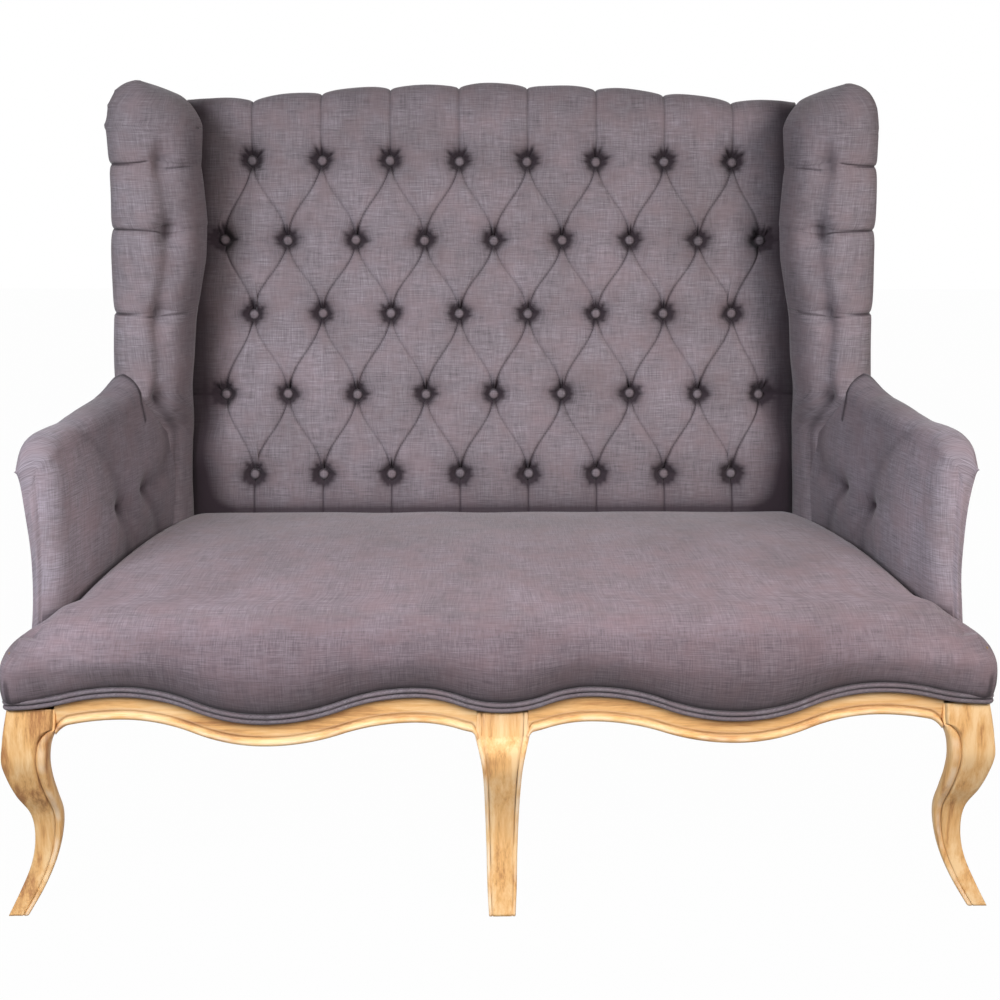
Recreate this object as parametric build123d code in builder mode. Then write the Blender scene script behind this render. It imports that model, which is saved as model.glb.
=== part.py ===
from build123d import *
import os
from math import atan, cos, degrees, radians, sin, tan

os.makedirs("parts", exist_ok=True)

# High back settee on six legs of bare wood: a raked, button-tufted back between
# two wings, low arms that splay forward, and a tight seat with a double welt along the rails.
# X runs along the settee, the front faces -Y, the floor is Z = 0. All lengths are millimetres.

# ---- driving dimensions -------------------------------------------------------------------
FRONT_HALF = 725.0      # half width of the rails at the front corners
REAR_IN = 70.0          # how much each side draws in to the rear posts
RAIL_Y = -408.0         # front plane of the show-wood
SEAT_LINE = 450.0       # height where the back's slope is set out
BACK_Y = 188.5          # plane of the back buttons at that height
RAKE = 12.6             # slope of the back, degrees from upright
BACK_TOP = 1239.0       # crest of the back at the middle
WING_FOOT = 715.0       # height where a wing stands on its arm
FIT = 0.3               # clearance between pieces that slide together

# show-wood rails: heights at the curve nodes, which are the middle, CURVE_X and the corner
CURVE_X = (0.0, 129.0, 348.0, 558.0)
WOOD_BAND = (315.5, 340.0, 299.5, 344.0, 324.5)     # top of the bare wood
RAIL_EDGE = (279.5, 300.5, 264.5, 308.5, 291.5)     # lower edge
RAIL_TOP = 400.0        # top of the seat frame
RAIL_T = 28.0           # thickness of every seat rail
REBATE = 8.0            # step that the upholstery is tacked into
BEAD_H = 10.0           # carved bead along the lower edge
BEAD_OUT = 4.0          # how far the bead stands proud
SIDE_ARCH = 20.0        # rise of the side rail's lower edge

# corner legs, from the floor up: height, outer edge past the corner, width
LEG_Z = (0.0, 30.0, 68.0, 110.0, 150.0, 185.0, 215.0, 245.0, 272.0, RAIL_EDGE[-1])
LEG_OUT = (16.0, 1.5, -14.0, -21.0, -18.0, -4.0, 4.5, 9.5, 7.0, 0.0)
LEG_WIDE = (29.5, 33.0, 34.5, 39.0, 46.5, 57.5, 62.5, 67.0, 68.5, 72.0)
CORNER_W = LEG_WIDE[-1]
BACK_CUT = 0.66         # the inner back corner is carved away to this share of the width
CORNER_EASE = 18.0      # the block's top edges are eased under the seat's rounded corner

# centre leg, from the floor up: height, front past the rail, width, depth
CENTRE_Z = (0.0, 35.0, 80.0, 120.0, 160.0, 200.0, 235.0, 258.0, 278.5)
CENTRE_Y = (-32.0, -18.0, -4.0, 3.0, 0.0, -10.0, -17.0, -14.0, 0.0)
CENTRE_WIDE = (40.0, 44.0, 46.0, 48.5, 51.5, 55.0, 61.0, 70.0, 82.0)
CENTRE_DEEP = (34.0, 35.0, 36.0, 38.0, 42.0, 48.0, 54.0, 56.0, 56.0)
CENTRE_HALF = 37.0      # half width of its block between the rails

# rear legs, from the floor up: height, place behind the post's foot, depth, width
REAR_LEG_Z = (0.0, 100.0, 200.0, 290.0)
REAR_LEG_Y = (98.5, 47.5, 12.5, -1.5)
REAR_LEG_DEEP = (34.0, 38.0, 42.0, 44.0)
REAR_LEG_WIDE = (34.0, 38.0, 41.0, 44.0)
POST_FOOT = 345.0       # height where a leg runs into its raked post
POST_W = 45.0           # width of a rear post

# blocks and bolts
BLOCK_LEG = 62.0        # how far a corner block runs along each rail
BLOCK_Z = (RAIL_TOP - 75, RAIL_TOP - 15)
CROSS_W = 28.0          # width of the rail across the seat
CROSS_Z = (RAIL_TOP - 75, RAIL_TOP - 8)
BOLT_D = 8.0
BOLT_L = 80.0
BOLT_HEAD = (15.0, 6.0)
BOLT_REACH = 44.0       # from a bolt's head to the leg's inner corner

# back frame
FRAME_T = 28.0          # thickness of the back frame's boards
REAR_RAIL_LOW = RAIL_TOP - 95
LOW_RAIL_Z = (RAIL_TOP + 25, RAIL_TOP + 85)
TOP_RAIL_LOW = BACK_TOP - 119
STILE_X = 205.0
STILE_W = 45.0

# tufted back
WING_W = 98.0           # from a wing's outer face to the tufted back
CREST_SAG = 32.8        # how much lower the crest is at CREST_AT from the middle
CREST_AT = 490.0
CREST_ROLL = 38.0       # rounding of the crest's front edge
SIDE_EASE = 24.0        # rounding beside the wings
BACK_FOOT = RAIL_TOP + 24
PEAK_OUT = 20.0         # the tufts' crowns in front of the button plane
COVER_BACK = 14.0       # quilted cover behind the button plane
FOAM_T = 30.0           # foam slab behind the quilted cover
WEB_T = 3.0             # woven hessian on the frame's face
COVER_T = 4.0           # fabric with its wadding, as on the outside back
CLOTH_T = 5.0           # fabric with its wadding on the seat, arms and wings
ROLL = 18.0             # padding over the top rail
BUTTON_ROWS = (0.815, 0.6363, 0.469, 0.2864, 0.1039)    # shares of the way up to the crest
BUTTON_SIDE = 118.3     # from the last of the eight buttons to the back's side
EDGE_SIDE = 66.4        # and from the outer button of rows 2 and 4
BUTTON_D = 21.0
BUTTON_H = 9.0
BUTTON_SEAT = -2.0      # the buttons' backs behind the plane they are set out on
TWINE_D = 2.4
PLEAT_W = 46.0
PLEAT_DEEP = 13.0
DIMPLE_D = 52.0
CREST_NOTCH = 9.0       # how deep a pleat cuts the crest's outline

# wings
WING_OUT = 3.0          # a wing's outer face outside the rear posts' line
WING_AHEAD = 123.5      # front edge of the wing's foot before the back
WING_LEAN = 6.8         # slope of the wing's front edge, degrees
WING_TOP = BACK_TOP - 10
WING_PLEATS = (0.2471, 0.5214, 0.7296)      # shares of the wing's height
WING_BULGE = (32.0, 55.0)       # inner bulge past the back's side, at the arm and above
WING_CORNER = 4.0       # how much lower the wing ends than the crest beside it
NIP = 6.0               # how far a sewn pleat draws in
PANEL_T = 3.0           # outside panels of the wings and arms
BOARD_T = 22.0
BOARD_IN = 34.0         # padding in front of a wing board

# arms
ARM_TOP = WING_FOOT - 3         # crest of the arm at its front
ARM_RISE = 20.0         # how much higher it is at the wing
ARM_LEAN = 10.6         # slope of the arm's front, degrees
ARM_W = 66.0            # inner face at the crease to the corner of the rails
ARM_FRONT = RAIL_Y + 88         # front of the arm at its base
ARM_FULL = RAIL_Y + 130         # where its nose has its full width
ARM_BACK = BACK_Y + 73.5        # the arm runs on under the wing to here
ARM_BEHIND = 10.6       # how far the inner face has passed the back's side there
FLARE = (17.0, -4.0)    # the crest's outer edge past the base, front and back
NOSE_TUCK = 32.0        # how far the nose draws in at its tip
NOSE_TURNS = (0, 20, 42, 66, 90)
ARM_BAYS = 5
PAD_EASE = 0.8          # the padding lies this far inside its cover
STUMP_W = 22.0
STUMP_T = 28.0
STUMP_IN = 6.0          # the stump clears the outer panel's hollow by this
ARM_RAIL_Z = (ARM_TOP - 100, ARM_TOP - 72)

# seat
SEAT_FRONT = RAIL_TOP + 52      # height of the seat's top at the front roll
SEAT_CROWN = SEAT_FRONT + 26
SEAT_REAR = SEAT_FRONT + 16
SEAT_ROLL = 75.0        # radius of the front roll
SIDE_ROLL = 85.0        # and of the seat's ends in front of the arms
SEAT_BULGE = 12.0       # the seat's front beyond the show-wood
SEAT_SIDE = 10.0        # and its ends beyond the corners
TUCK_IN = 15.0          # how far it draws in down to the welt
TUCK_Z = (WOOD_BAND[-1] + 7, WOOD_BAND[-1] + 31)
WELT_D = 7.6            # each cord of the double welt
WELT_OUT = 1.0          # the cords' middle lines beyond the show-wood's faces
WELT_GAP = 0.2

# springs, deck and dust cover
WIRE_D = 3.8
SPRING_W = 50.0
SPRING_BENDS = 20
SPRING_SIDE = 5         # springs on each side of the cross rail
SPRING_EDGE = 62.0      # the first spring from the middle
SPRING_IN = 28.0        # the last spring inside the back's side
CLIP = (16.0, 14.0, 7.0)
DECK_T = 3.0
DUST_T = 1.5

FAR = 1500.0            # past everything, for cutting blocks

# ---- worked out from them -----------------------------------------------------------------
SLOPE = tan(radians(RAKE))
COS_R = cos(radians(RAKE))
SIN_R = sin(radians(RAKE))
REAR_HALF = FRONT_HALF - REAR_IN
WING_HALF = REAR_HALF + WING_OUT
BACK_HALF = WING_HALF - WING_W
ARM_INNER = FRONT_HALF - ARM_W
ARM_TURN = (ARM_INNER - BACK_HALF + ARM_BEHIND) / (ARM_BACK - ARM_FULL)
FOAM_FRONT = -COVER_BACK
WEB_FRONT = FOAM_FRONT - FOAM_T
FRAME_FRONT = WEB_FRONT - WEB_T
FRAME_REAR = FRAME_FRONT - FRAME_T
POST_X = REAR_HALF - POST_W - REBATE - COVER_T
BUTTON_PITCH = (BACK_HALF - BUTTON_SIDE) / 3.5
EDGE_U = BACK_HALF - EDGE_SIDE
POST_TOP = WING_TOP - 49
DECK_Z = RAIL_TOP + CLIP[2]
WELT_TOP = WOOD_BAND[-1] + 2 * WELT_D + 1


def back_y(z, n=0.0):
    """Y of the plane that lies n in front of the buttons, at height z."""
    return BACK_Y + (z - SEAT_LINE) * SLOPE - n / COS_R


REAR_Y = back_y(RAIL_TOP, FRAME_REAR)
SPLAY = (FRONT_HALF - REAR_HALF) / (REAR_Y - RAIL_Y)


def side_x(y, inset=0.0):
    """X of the right side rail's outer face at y."""
    return FRONT_HALF - (y - RAIL_Y) * SPLAY - inset


BACK_PLANE = Plane(origin=(0, BACK_Y, SEAT_LINE), x_dir=(1, 0, 0), z_dir=(0, -COS_R, SIN_R))


def slope_v(z, n=0.0):
    """Distance up the back's slope of a point at height z and n in front of the buttons."""
    return (z - SEAT_LINE - n * SIN_R) / COS_R


def keep(part, name):
    part.label = name
    export_step(part, f"parts/{name}.step")


def keep_pair(part, name):
    """Writes a right-hand piece and its mirrored left-hand twin."""
    keep(part, name + "_right")
    keep(mirror(part, about=Plane.YZ), name + "_left")


def wave(heights, lift=0.0):
    """Smooth curve from the middle to the right corner through the given heights."""
    nodes = list(zip(CURVE_X + (FRONT_HALF - REBATE,), heights))
    for (x0, z0), (x1, z1) in zip(nodes, nodes[1:]):
        middle = ((x0 + x1) / 2, (z0 + z1) / 2 + lift)
        first = TangentArc((x0, z0 + lift), middle, tangent=(1, 0))
        TangentArc(middle, (x1, z1 + lift), tangent=first % 1)


def under_wave(heights, lift, y0, y1, floor=200.0):
    """Solid below a wave on the right half, between two Y planes."""
    with BuildPart() as block:
        with BuildSketch(Plane.XZ.offset(-y1)):
            with BuildLine():
                wave(heights, lift)
                end = heights[-1] + lift
                Polyline((0, heights[0] + lift), (0, floor), (FRONT_HALF - REBATE, floor),
                         (FRONT_HALF - REBATE, end))
            make_face()
        extrude(amount=y1 - y0)
    return block.part


def slab(x0, x1, y0, y1, z0, z1):
    """Plain block between two corners, for cutting and trimming."""
    block = Box(x1 - x0, y1 - y0, z1 - z0, mode=Mode.PRIVATE)
    return Pos((x0 + x1) / 2, (y0 + y1) / 2, (z0 + z1) / 2) * block


def raked(u0, u1, v0, v1, n0, n1):
    """Block set out on the back's slope."""
    block = Box(u1 - u0, v1 - v0, n1 - n0, mode=Mode.PRIVATE)
    return BACK_PLANE * Pos((u0 + u1) / 2, (v0 + v1) / 2, (n0 + n1) / 2) * block


# ---- show-wood: front rails ---------------------------------------------------------------
below_band = under_wave(WOOD_BAND, 0, RAIL_Y - 20, RAIL_Y + REBATE)
below_edge = under_wave(RAIL_EDGE, 0, RAIL_Y - 20, RAIL_Y + RAIL_T)
below_bead = under_wave(RAIL_EDGE, BEAD_H, RAIL_Y - BEAD_OUT, RAIL_Y + RAIL_T)
corner_in = FRONT_HALF - CORNER_W

with BuildPart() as front_rail:
    add(slab(CENTRE_HALF, corner_in, RAIL_Y + REBATE, RAIL_Y + RAIL_T, 240, RAIL_TOP))
    add(below_band & slab(CENTRE_HALF, corner_in, RAIL_Y, RAIL_Y + REBATE, 240, RAIL_TOP))
    add(below_bead & slab(CENTRE_HALF, corner_in, RAIL_Y - BEAD_OUT, RAIL_Y + 1, 240, RAIL_TOP))
    add(below_edge, mode=Mode.SUBTRACT)
keep_pair(front_rail.part, "front_rail")

# ---- show-wood: front legs ----------------------------------------------------------------

def corner_leg_section(z, out, wide):
    """Five-sided section of a corner leg, with a bead down the inner edge of both faces."""
    groove = wide * 0.10
    bead = wide * 0.26
    with BuildSketch(Plane.XY.offset(z)) as section:
        with BuildLine():
            y = RAIL_Y - out
            out += FRONT_HALF
            Polyline((out, y), (out, y + wide - bead), (out - groove, y + wide - bead * 0.8),
                     (out, y + wide - bead * 0.5), (out - groove, y + wide),
                     (out - wide * BACK_CUT, y + wide * BACK_CUT), (out - wide, y + groove),
                     (out - wide + bead * 0.5, y), (out - wide + bead * 0.8, y + groove),
                     (out - wide + bead, y), close=True)
        make_face()
    return section.sketch


leg_sections = [corner_leg_section(*size) for size in zip(LEG_Z, LEG_OUT, LEG_WIDE)]
block_y = RAIL_Y + CORNER_W
with BuildPart() as corner_leg:
    loft(leg_sections)
    add(slab(corner_in, FRONT_HALF, RAIL_Y, block_y, LEG_Z[-1], WOOD_BAND[-1]))
    inner_x = FRONT_HALF - REBATE
    add(slab(corner_in, inner_x, RAIL_Y + REBATE, block_y, WOOD_BAND[-1], RAIL_TOP))
    top_edges = corner_leg.edges().group_by(Axis.Z)[-1]
    chamfer([top_edges.sort_by(Axis.X)[-1], top_edges.sort_by(Axis.Y)[0]], length=CORNER_EASE)
corner_leg_body = corner_leg.part


def centre_leg_section(z, forward, wide, deep):
    """Section of the centre leg, its two front edges beaded like the rails."""
    groove = wide * 0.06
    bead = wide * 0.16
    half = wide / 2
    y = RAIL_Y + forward
    with BuildSketch(Plane.XY.offset(z)) as section:
        with BuildLine():
            Polyline((half, y + groove), (half, y + deep), (-half, y + deep),
                     (-half, y + groove), (-half + bead * 0.5, y),
                     (-half + bead * 0.9, y + groove), (-half + bead * 1.4, y),
                     (half - bead * 1.4, y), (half - bead * 0.9, y + groove),
                     (half - bead * 0.5, y), close=True)
        make_face()
    return section.sketch


centre_sizes = zip(CENTRE_Z, CENTRE_Y, CENTRE_WIDE, CENTRE_DEEP)
centre_sections = [centre_leg_section(*size) for size in centre_sizes]
centre_back = RAIL_Y + CENTRE_DEEP[-1]
centre_band = slab(-CENTRE_HALF, CENTRE_HALF, RAIL_Y, RAIL_Y + REBATE, CENTRE_Z[-1], 350)
band_middle = (below_band + mirror(below_band, about=Plane.YZ)) & centre_band
with BuildPart() as centre_leg:
    loft(centre_sections)
    add(slab(-CENTRE_HALF, CENTRE_HALF, RAIL_Y + REBATE, centre_back, CENTRE_Z[-1], RAIL_TOP))
    add(band_middle)
keep(centre_leg.part, "front_leg_centre")

# ---- bolts that draw the corner blocks into the legs --------------------------------------
bolt_z = sum(BLOCK_Z) / 2
post_corner_y = back_y(bolt_z, FRAME_FRONT)


def corner_bolt(corner_x, corner_y, turn):
    """Lag bolt through a leg's inner corner, its head outside the corner block."""
    seat = Pos(corner_x, corner_y, bolt_z) * Rot(0, 0, turn) * Rot(0, 90, 0)
    shank = Cylinder(BOLT_D / 2, BOLT_L, mode=Mode.PRIVATE)
    head = Cylinder(BOLT_HEAD[0] / 2, BOLT_HEAD[1], mode=Mode.PRIVATE)
    middle = BOLT_L / 2 - BOLT_REACH
    bolt = Pos(0, 0, middle) * shank + Pos(0, 0, -BOLT_REACH - BOLT_HEAD[1] / 2) * head
    return seat * bolt


front_bolt = corner_bolt(corner_in, block_y, -45)
rear_bolt = corner_bolt(POST_X, post_corner_y, 30)
with BuildPart() as corner_bolts:
    add(front_bolt)
    add(rear_bolt)
    mirror(about=Plane.YZ)
keep(corner_bolts.part, "corner_bolts")
with BuildPart() as corner_leg:
    add(corner_leg_body)
    add(front_bolt, mode=Mode.SUBTRACT)
keep_pair(corner_leg.part, "front_leg")

# ---- seat frame ---------------------------------------------------------------------------
SIDE_EDGE = RAIL_EDGE[-1] - 8
behind_frame = raked(-FAR, FAR, -FAR, FAR, FRAME_FRONT - FAR, FRAME_FRONT)
front_of_frame = raked(-FAR, FAR, slope_v(SIDE_EDGE - 5), FAR, FRAME_FRONT, FAR)
rail_from = block_y
rail_to = REAR_Y
with BuildPart() as side_rail:
    for outer, inner, top in ((REBATE, RAIL_T, RAIL_TOP), (0, REBATE, WOOD_BAND[-1])):
        with BuildSketch(Plane.XY.offset(SIDE_EDGE)):
            with BuildLine():
                Polyline((side_x(rail_from, outer), rail_from), (side_x(rail_to, outer), rail_to),
                         (side_x(rail_to, inner), rail_to), (side_x(rail_from, inner), rail_from),
                         close=True)
            make_face()
        extrude(amount=top - SIDE_EDGE)
    with BuildSketch(Plane.YZ.offset(REAR_HALF - 2 * RAIL_T)):
        with BuildLine():
            arch = ThreePointArc((rail_from, SIDE_EDGE),
                                 ((rail_from + rail_to) / 2, SIDE_EDGE + SIDE_ARCH),
                                 (rail_to, SIDE_EDGE))
            Line(arch @ 1, arch @ 0)
        make_face()
    extrude(amount=FRONT_HALF, mode=Mode.SUBTRACT)
    add(behind_frame, mode=Mode.SUBTRACT)
keep_pair(side_rail.part, "side_rail")

rear_rail_block = raked(-POST_X, POST_X, slope_v(REAR_RAIL_LOW), slope_v(RAIL_TOP, FRAME_FRONT),
                        FRAME_REAR, FRAME_FRONT)
with BuildPart() as rear_rail:
    add(rear_rail_block)
    add(corner_bolts.part, mode=Mode.SUBTRACT)
keep(rear_rail.part, "rear_rail")

with BuildPart() as cross_rail:
    add(slab(-CROSS_W / 2, CROSS_W / 2, centre_back, rail_to, *CROSS_Z))
    add(behind_frame, mode=Mode.SUBTRACT)
keep(cross_rail.part, "seat_cross_rail")

# ---- rear legs: sabre legs that run up into the raked posts -------------------------------

def rear_leg(centre_x):
    """Sabre leg below the seat; its last section is the post's own section."""
    sections = []
    foot_y = back_y(POST_FOOT, (FRAME_FRONT + FRAME_REAR) / 2)
    sizes = list(zip(REAR_LEG_Z, REAR_LEG_Y, REAR_LEG_DEEP, REAR_LEG_WIDE))
    sizes.append((POST_FOOT, 0, FRAME_T / COS_R, POST_W))
    for z, behind, deep, wide in sizes:
        with BuildSketch(Plane.XY.offset(z)) as section:
            with Locations((centre_x, foot_y + behind)):
                Rectangle(wide, deep)
        sections.append(section.sketch)
    with BuildPart() as leg:
        loft(sections)
    return leg.part


post_side_leg = rear_leg(POST_X + POST_W / 2)
post_block = raked(POST_X, POST_X + POST_W, slope_v(200), slope_v(POST_TOP),
                   FRAME_REAR, FRAME_FRONT)
below_post = slab(-FAR, FAR, -FAR, FAR, 0, POST_FOOT)
with BuildPart() as rear_post:
    add(post_block)
    add(below_post, mode=Mode.SUBTRACT)
    add(post_side_leg)
    add(front_of_frame, mode=Mode.SUBTRACT)
    add(rear_bolt, mode=Mode.SUBTRACT)
keep_pair(rear_post.part, "rear_post")

centre_rear_body = rear_leg(0)
with BuildPart() as rear_centre_leg:
    add(centre_rear_body)
    add(raked(-60, 60, slope_v(REAR_RAIL_LOW), 0, -200, 200), mode=Mode.SUBTRACT)
keep(rear_centre_leg.part, "rear_leg_centre")

# ---- glued corner blocks ------------------------------------------------------------------
front_in = RAIL_Y + RAIL_T
far_y = block_y + BLOCK_LEG
with BuildPart() as front_block:
    with BuildSketch(Plane.XY.offset(BLOCK_Z[0])):
        with BuildLine():
            Polyline((corner_in, front_in), (corner_in - BLOCK_LEG, front_in),
                     (side_x(far_y, RAIL_T), far_y), (side_x(block_y, RAIL_T), block_y),
                     (corner_in, block_y), close=True)
        make_face()
    extrude(amount=BLOCK_Z[1] - BLOCK_Z[0])
    add(front_bolt, mode=Mode.SUBTRACT)
keep_pair(front_block.part, "corner_block_front")

near_y = back_y(BLOCK_Z[0], FRAME_FRONT) - BLOCK_LEG
past_y = back_y(BLOCK_Z[1], FRAME_FRONT) + 5
with BuildPart() as rear_block:
    with BuildSketch(Plane.XY.offset(BLOCK_Z[0])):
        with BuildLine():
            Polyline((side_x(near_y, RAIL_T), near_y), (side_x(past_y, RAIL_T), past_y),
                     (POST_X - BLOCK_LEG, past_y), (POST_X - BLOCK_LEG, past_y - 12), close=True)
        make_face()
    extrude(amount=BLOCK_Z[1] - BLOCK_Z[0])
    add(behind_frame, mode=Mode.SUBTRACT)
    add(rear_bolt, mode=Mode.SUBTRACT)
keep_pair(rear_block.part, "corner_block_rear")

# ---- back frame ---------------------------------------------------------------------------
CREST_R = (CREST_AT ** 2 + CREST_SAG ** 2) / (2 * CREST_SAG)
CREST_V = slope_v(BACK_TOP, -COVER_BACK)

def crest_v(u):
    """Distance up the slope of the back's crest at u from the middle."""
    return CREST_V - CREST_R + (CREST_R ** 2 - u ** 2) ** 0.5


def crest_slab(half, low, down, n0, n1):
    """Board on the back's slope whose top follows the crest, lowered by down."""
    with BuildPart() as board:
        with BuildSketch(BACK_PLANE.offset(n0)):
            with BuildLine():
                top = ThreePointArc((-half, crest_v(half) - down), (0, crest_v(0) - down),
                                    (half, crest_v(half) - down))
                Polyline(top @ 1, (half, low), (-half, low), top @ 0)
            make_face()
        extrude(amount=n1 - n0)
    return board.part


top_rail_body = crest_slab(POST_X, slope_v(TOP_RAIL_LOW), ROLL, FRAME_REAR, FRAME_FRONT)
with BuildPart() as top_rail:
    add(top_rail_body)
keep(top_rail.part, "back_top_rail")

with BuildPart() as lower_rail:
    add(raked(-POST_X, POST_X, slope_v(LOW_RAIL_Z[0]), slope_v(LOW_RAIL_Z[1]),
              FRAME_REAR, FRAME_FRONT))
keep(lower_rail.part, "back_lower_rail")

with BuildPart() as back_stile:
    add(raked(STILE_X - STILE_W / 2, STILE_X + STILE_W / 2, slope_v(LOW_RAIL_Z[1]),
              slope_v(TOP_RAIL_LOW), FRAME_REAR, FRAME_FRONT))
keep_pair(back_stile.part, "back_stile")

# ---- arms: sections on planes that lean with the arm's front ------------------------------
ARM_BASE = RAIL_TOP
ARM_COS = cos(radians(ARM_LEAN))
ARM_SIN = sin(radians(ARM_LEAN))
NOSE_LONG = ARM_FULL - ARM_FRONT


def leaning(y):
    """Plane of the arm's section whose foot is at y."""
    return Plane(origin=(0, y, ARM_BASE), x_dir=(1, 0, 0), z_dir=(0, -ARM_COS, ARM_SIN))


def arm_outer(y):
    return side_x(y, REBATE) + PANEL_T


def arm_section(y, tuck, draw=0.0, skin=0.0):
    """Closed outline of the right arm where its base is at y.

    tuck shrinks it towards the rounded nose, draw takes the cloth off the inner
    face and the crest, and skin takes the outer panel off."""
    share = (y - ARM_FRONT) / (ARM_BACK - ARM_FRONT)
    outer = arm_outer(y) - skin
    inner = min(ARM_INNER, ARM_INNER - (y - ARM_FULL) * ARM_TURN) + tuck + draw
    tip = outer + FLARE[0] + (FLARE[1] - FLARE[0]) * share - tuck * 0.25
    crest = ARM_TOP - ARM_BASE + ARM_RISE * share - tuck * 0.7 - draw
    wide = tip - inner
    shoulder = (inner + wide * 0.1, crest - 34)
    with BuildSketch(leaning(y)) as section:
        with BuildLine():
            ThreePointArc((inner, 0), (inner - wide * 0.1, crest * 0.42), shoulder)
            ThreePointArc(shoulder, (inner + wide * 0.25, crest - 8), (tip - wide / 2, crest))
            ThreePointArc((tip - wide / 2, crest), (tip - wide * 0.13, crest - 17),
                          (tip, crest - 52))
            ThreePointArc((tip, crest - 52), (outer - 1, crest * 0.45), (outer, 0))
            Line((outer, 0), (inner, 0))
        make_face()
    return section.sketch


def arm_form(draw=0.0, skin=0.0):
    """The right arm's whole form, or what is left inside its cloth."""
    nose = [(ARM_FRONT + NOSE_LONG * (1 - cos(radians(turn))), NOSE_TUCK * (1 - sin(radians(turn))))
            for turn in NOSE_TURNS]
    straight = [(ARM_FULL + (ARM_BACK - ARM_FULL) * part / ARM_BAYS, 0)
                for part in range(1, ARM_BAYS + 1)]
    with BuildPart() as form:
        loft([arm_section(y + draw, tuck, draw, skin) for y, tuck in nose + straight], ruled=True)
    return form.part


arm_body = arm_form()
arm_core = arm_form(CLOTH_T)
arm_inside_panel = arm_form(0, PANEL_T)
arm_filling = arm_form(CLOTH_T + PAD_EASE, PANEL_T + 2 * PAD_EASE)

# ---- wings: horizontal sections, nipped in at each sewn pleat ------------------------------
WING_TAN = tan(radians(WING_LEAN))
WING_TALL = WING_TOP - WING_FOOT
PLEAT_Z = [WING_FOOT + share * WING_TALL for share in WING_PLEATS]


def wing_front(z):
    return BACK_Y - WING_AHEAD + (z - WING_FOOT) * WING_TAN


def wing_section(z, nip, draw=0.0):
    """Closed outline of the right wing at height z, drawn in by nip on its padded sides."""
    rise = min(1, max(0, (z - WING_FOOT) / (PLEAT_Z[1] - WING_FOOT)))
    bulge = WING_BULGE[0] + (WING_BULGE[1] - WING_BULGE[0]) * rise
    inner = BACK_HALF - bulge + nip + draw
    front = wing_front(z) + nip + draw
    outer = WING_HALF - PANEL_T - max(0, nip - NIP)
    wide = outer - inner
    brow = (outer - wide * 0.26, front)
    tuft = (inner + wide * 0.33, front + 17)
    crease = back_y(z, 4)
    rear = back_y(z, FRAME_REAR)
    with BuildSketch(Plane.XY.offset(z)) as section:
        with BuildLine():
            Line((outer, rear), (outer, front + 40))
            ThreePointArc((outer, front + 40), (outer - wide * 0.08, front + 11), brow)
            ThreePointArc(brow, (outer - wide * 0.46, front + 1), tuft)
            ThreePointArc(tuft, (inner + wide * 0.1, front + 46), (inner, front + 96))
            ThreePointArc((inner, front + 96), (inner + 10, (front + 96 + crease) / 2 + 12),
                          (BACK_HALF, crease))
            Polyline((BACK_HALF, crease), (BACK_HALF, rear), (outer, rear))
        make_face()
    return section.sketch


def wing_form(draw=0.0):
    """The right wing's whole form: a padded bay between each two pleats and a domed top."""
    seams = [WING_FOOT - 45] + PLEAT_Z
    bays = []
    for low, high in zip(seams, seams[1:]):
        quarter = (high - low) / 4
        bay = [(low, NIP), (low + quarter, 1.5), (high - quarter, 1.5), (high, NIP)]
        bays.append([wing_section(z, nip, draw) for z, nip in bay])
    last = PLEAT_Z[-1]
    dome = [(share, nip) for share, nip in ((0, NIP), (0.216, 1.5), (0.54, 3.0), (0.79, 16.0))]
    dome = [(last + (WING_TOP - last) * share, nip) for share, nip in dome]
    dome.append((WING_TOP - draw, 38.0))
    bays.append([wing_section(z, nip, draw) for z, nip in dome])
    with BuildPart() as form:
        for bay in bays:
            loft(bay)
    return form.part


wing_body = wing_form()
wing_core = wing_form(CLOTH_T)

# ---- the back's padded form and what it cuts ----------------------------------------------
BACK_LOW = slope_v(BACK_FOOT)
beyond_back = raked(-FAR, FAR, -FAR, FAR, FRAME_REAR - FAR, FRAME_REAR)

with BuildPart() as back_form:
    add(crest_slab(BACK_HALF, BACK_LOW, 0, FRAME_REAR, PEAK_OUT))
    front_face = back_form.faces().sort_by(Axis(BACK_PLANE.origin, BACK_PLANE.z_dir))[-1]
    top_edge = front_face.edges().sort_by(Axis(BACK_PLANE.origin, BACK_PLANE.y_dir))[-1]
    fillet(top_edge, CREST_ROLL)
    sides = back_form.edges().filter_by(Axis(BACK_PLANE.origin, BACK_PLANE.y_dir))
    sides = sides.group_by(Axis(BACK_PLANE.origin, BACK_PLANE.z_dir))[-1]
    fillet(sides, SIDE_EASE)
back_zone = back_form.part

# ---- arm frame, padding and covers --------------------------------------------------------
stump_y = ARM_FULL + 8
stump_x = arm_outer(stump_y) - PANEL_T - STUMP_IN - STUMP_W / 2
stump_tall = (ARM_RAIL_Z[1] - 8 - ARM_BASE) / ARM_COS
with BuildPart() as arm_stump:
    with BuildSketch(leaning(stump_y)):
        with Locations((stump_x, stump_tall / 2 - 5)):
            Rectangle(STUMP_W, stump_tall + 10)
    extrude(amount=-STUMP_T)
    add(slab(0, FAR, -FAR, FAR, 0, ARM_BASE), mode=Mode.SUBTRACT)
keep_pair(arm_stump.part, "arm_stump")

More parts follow.
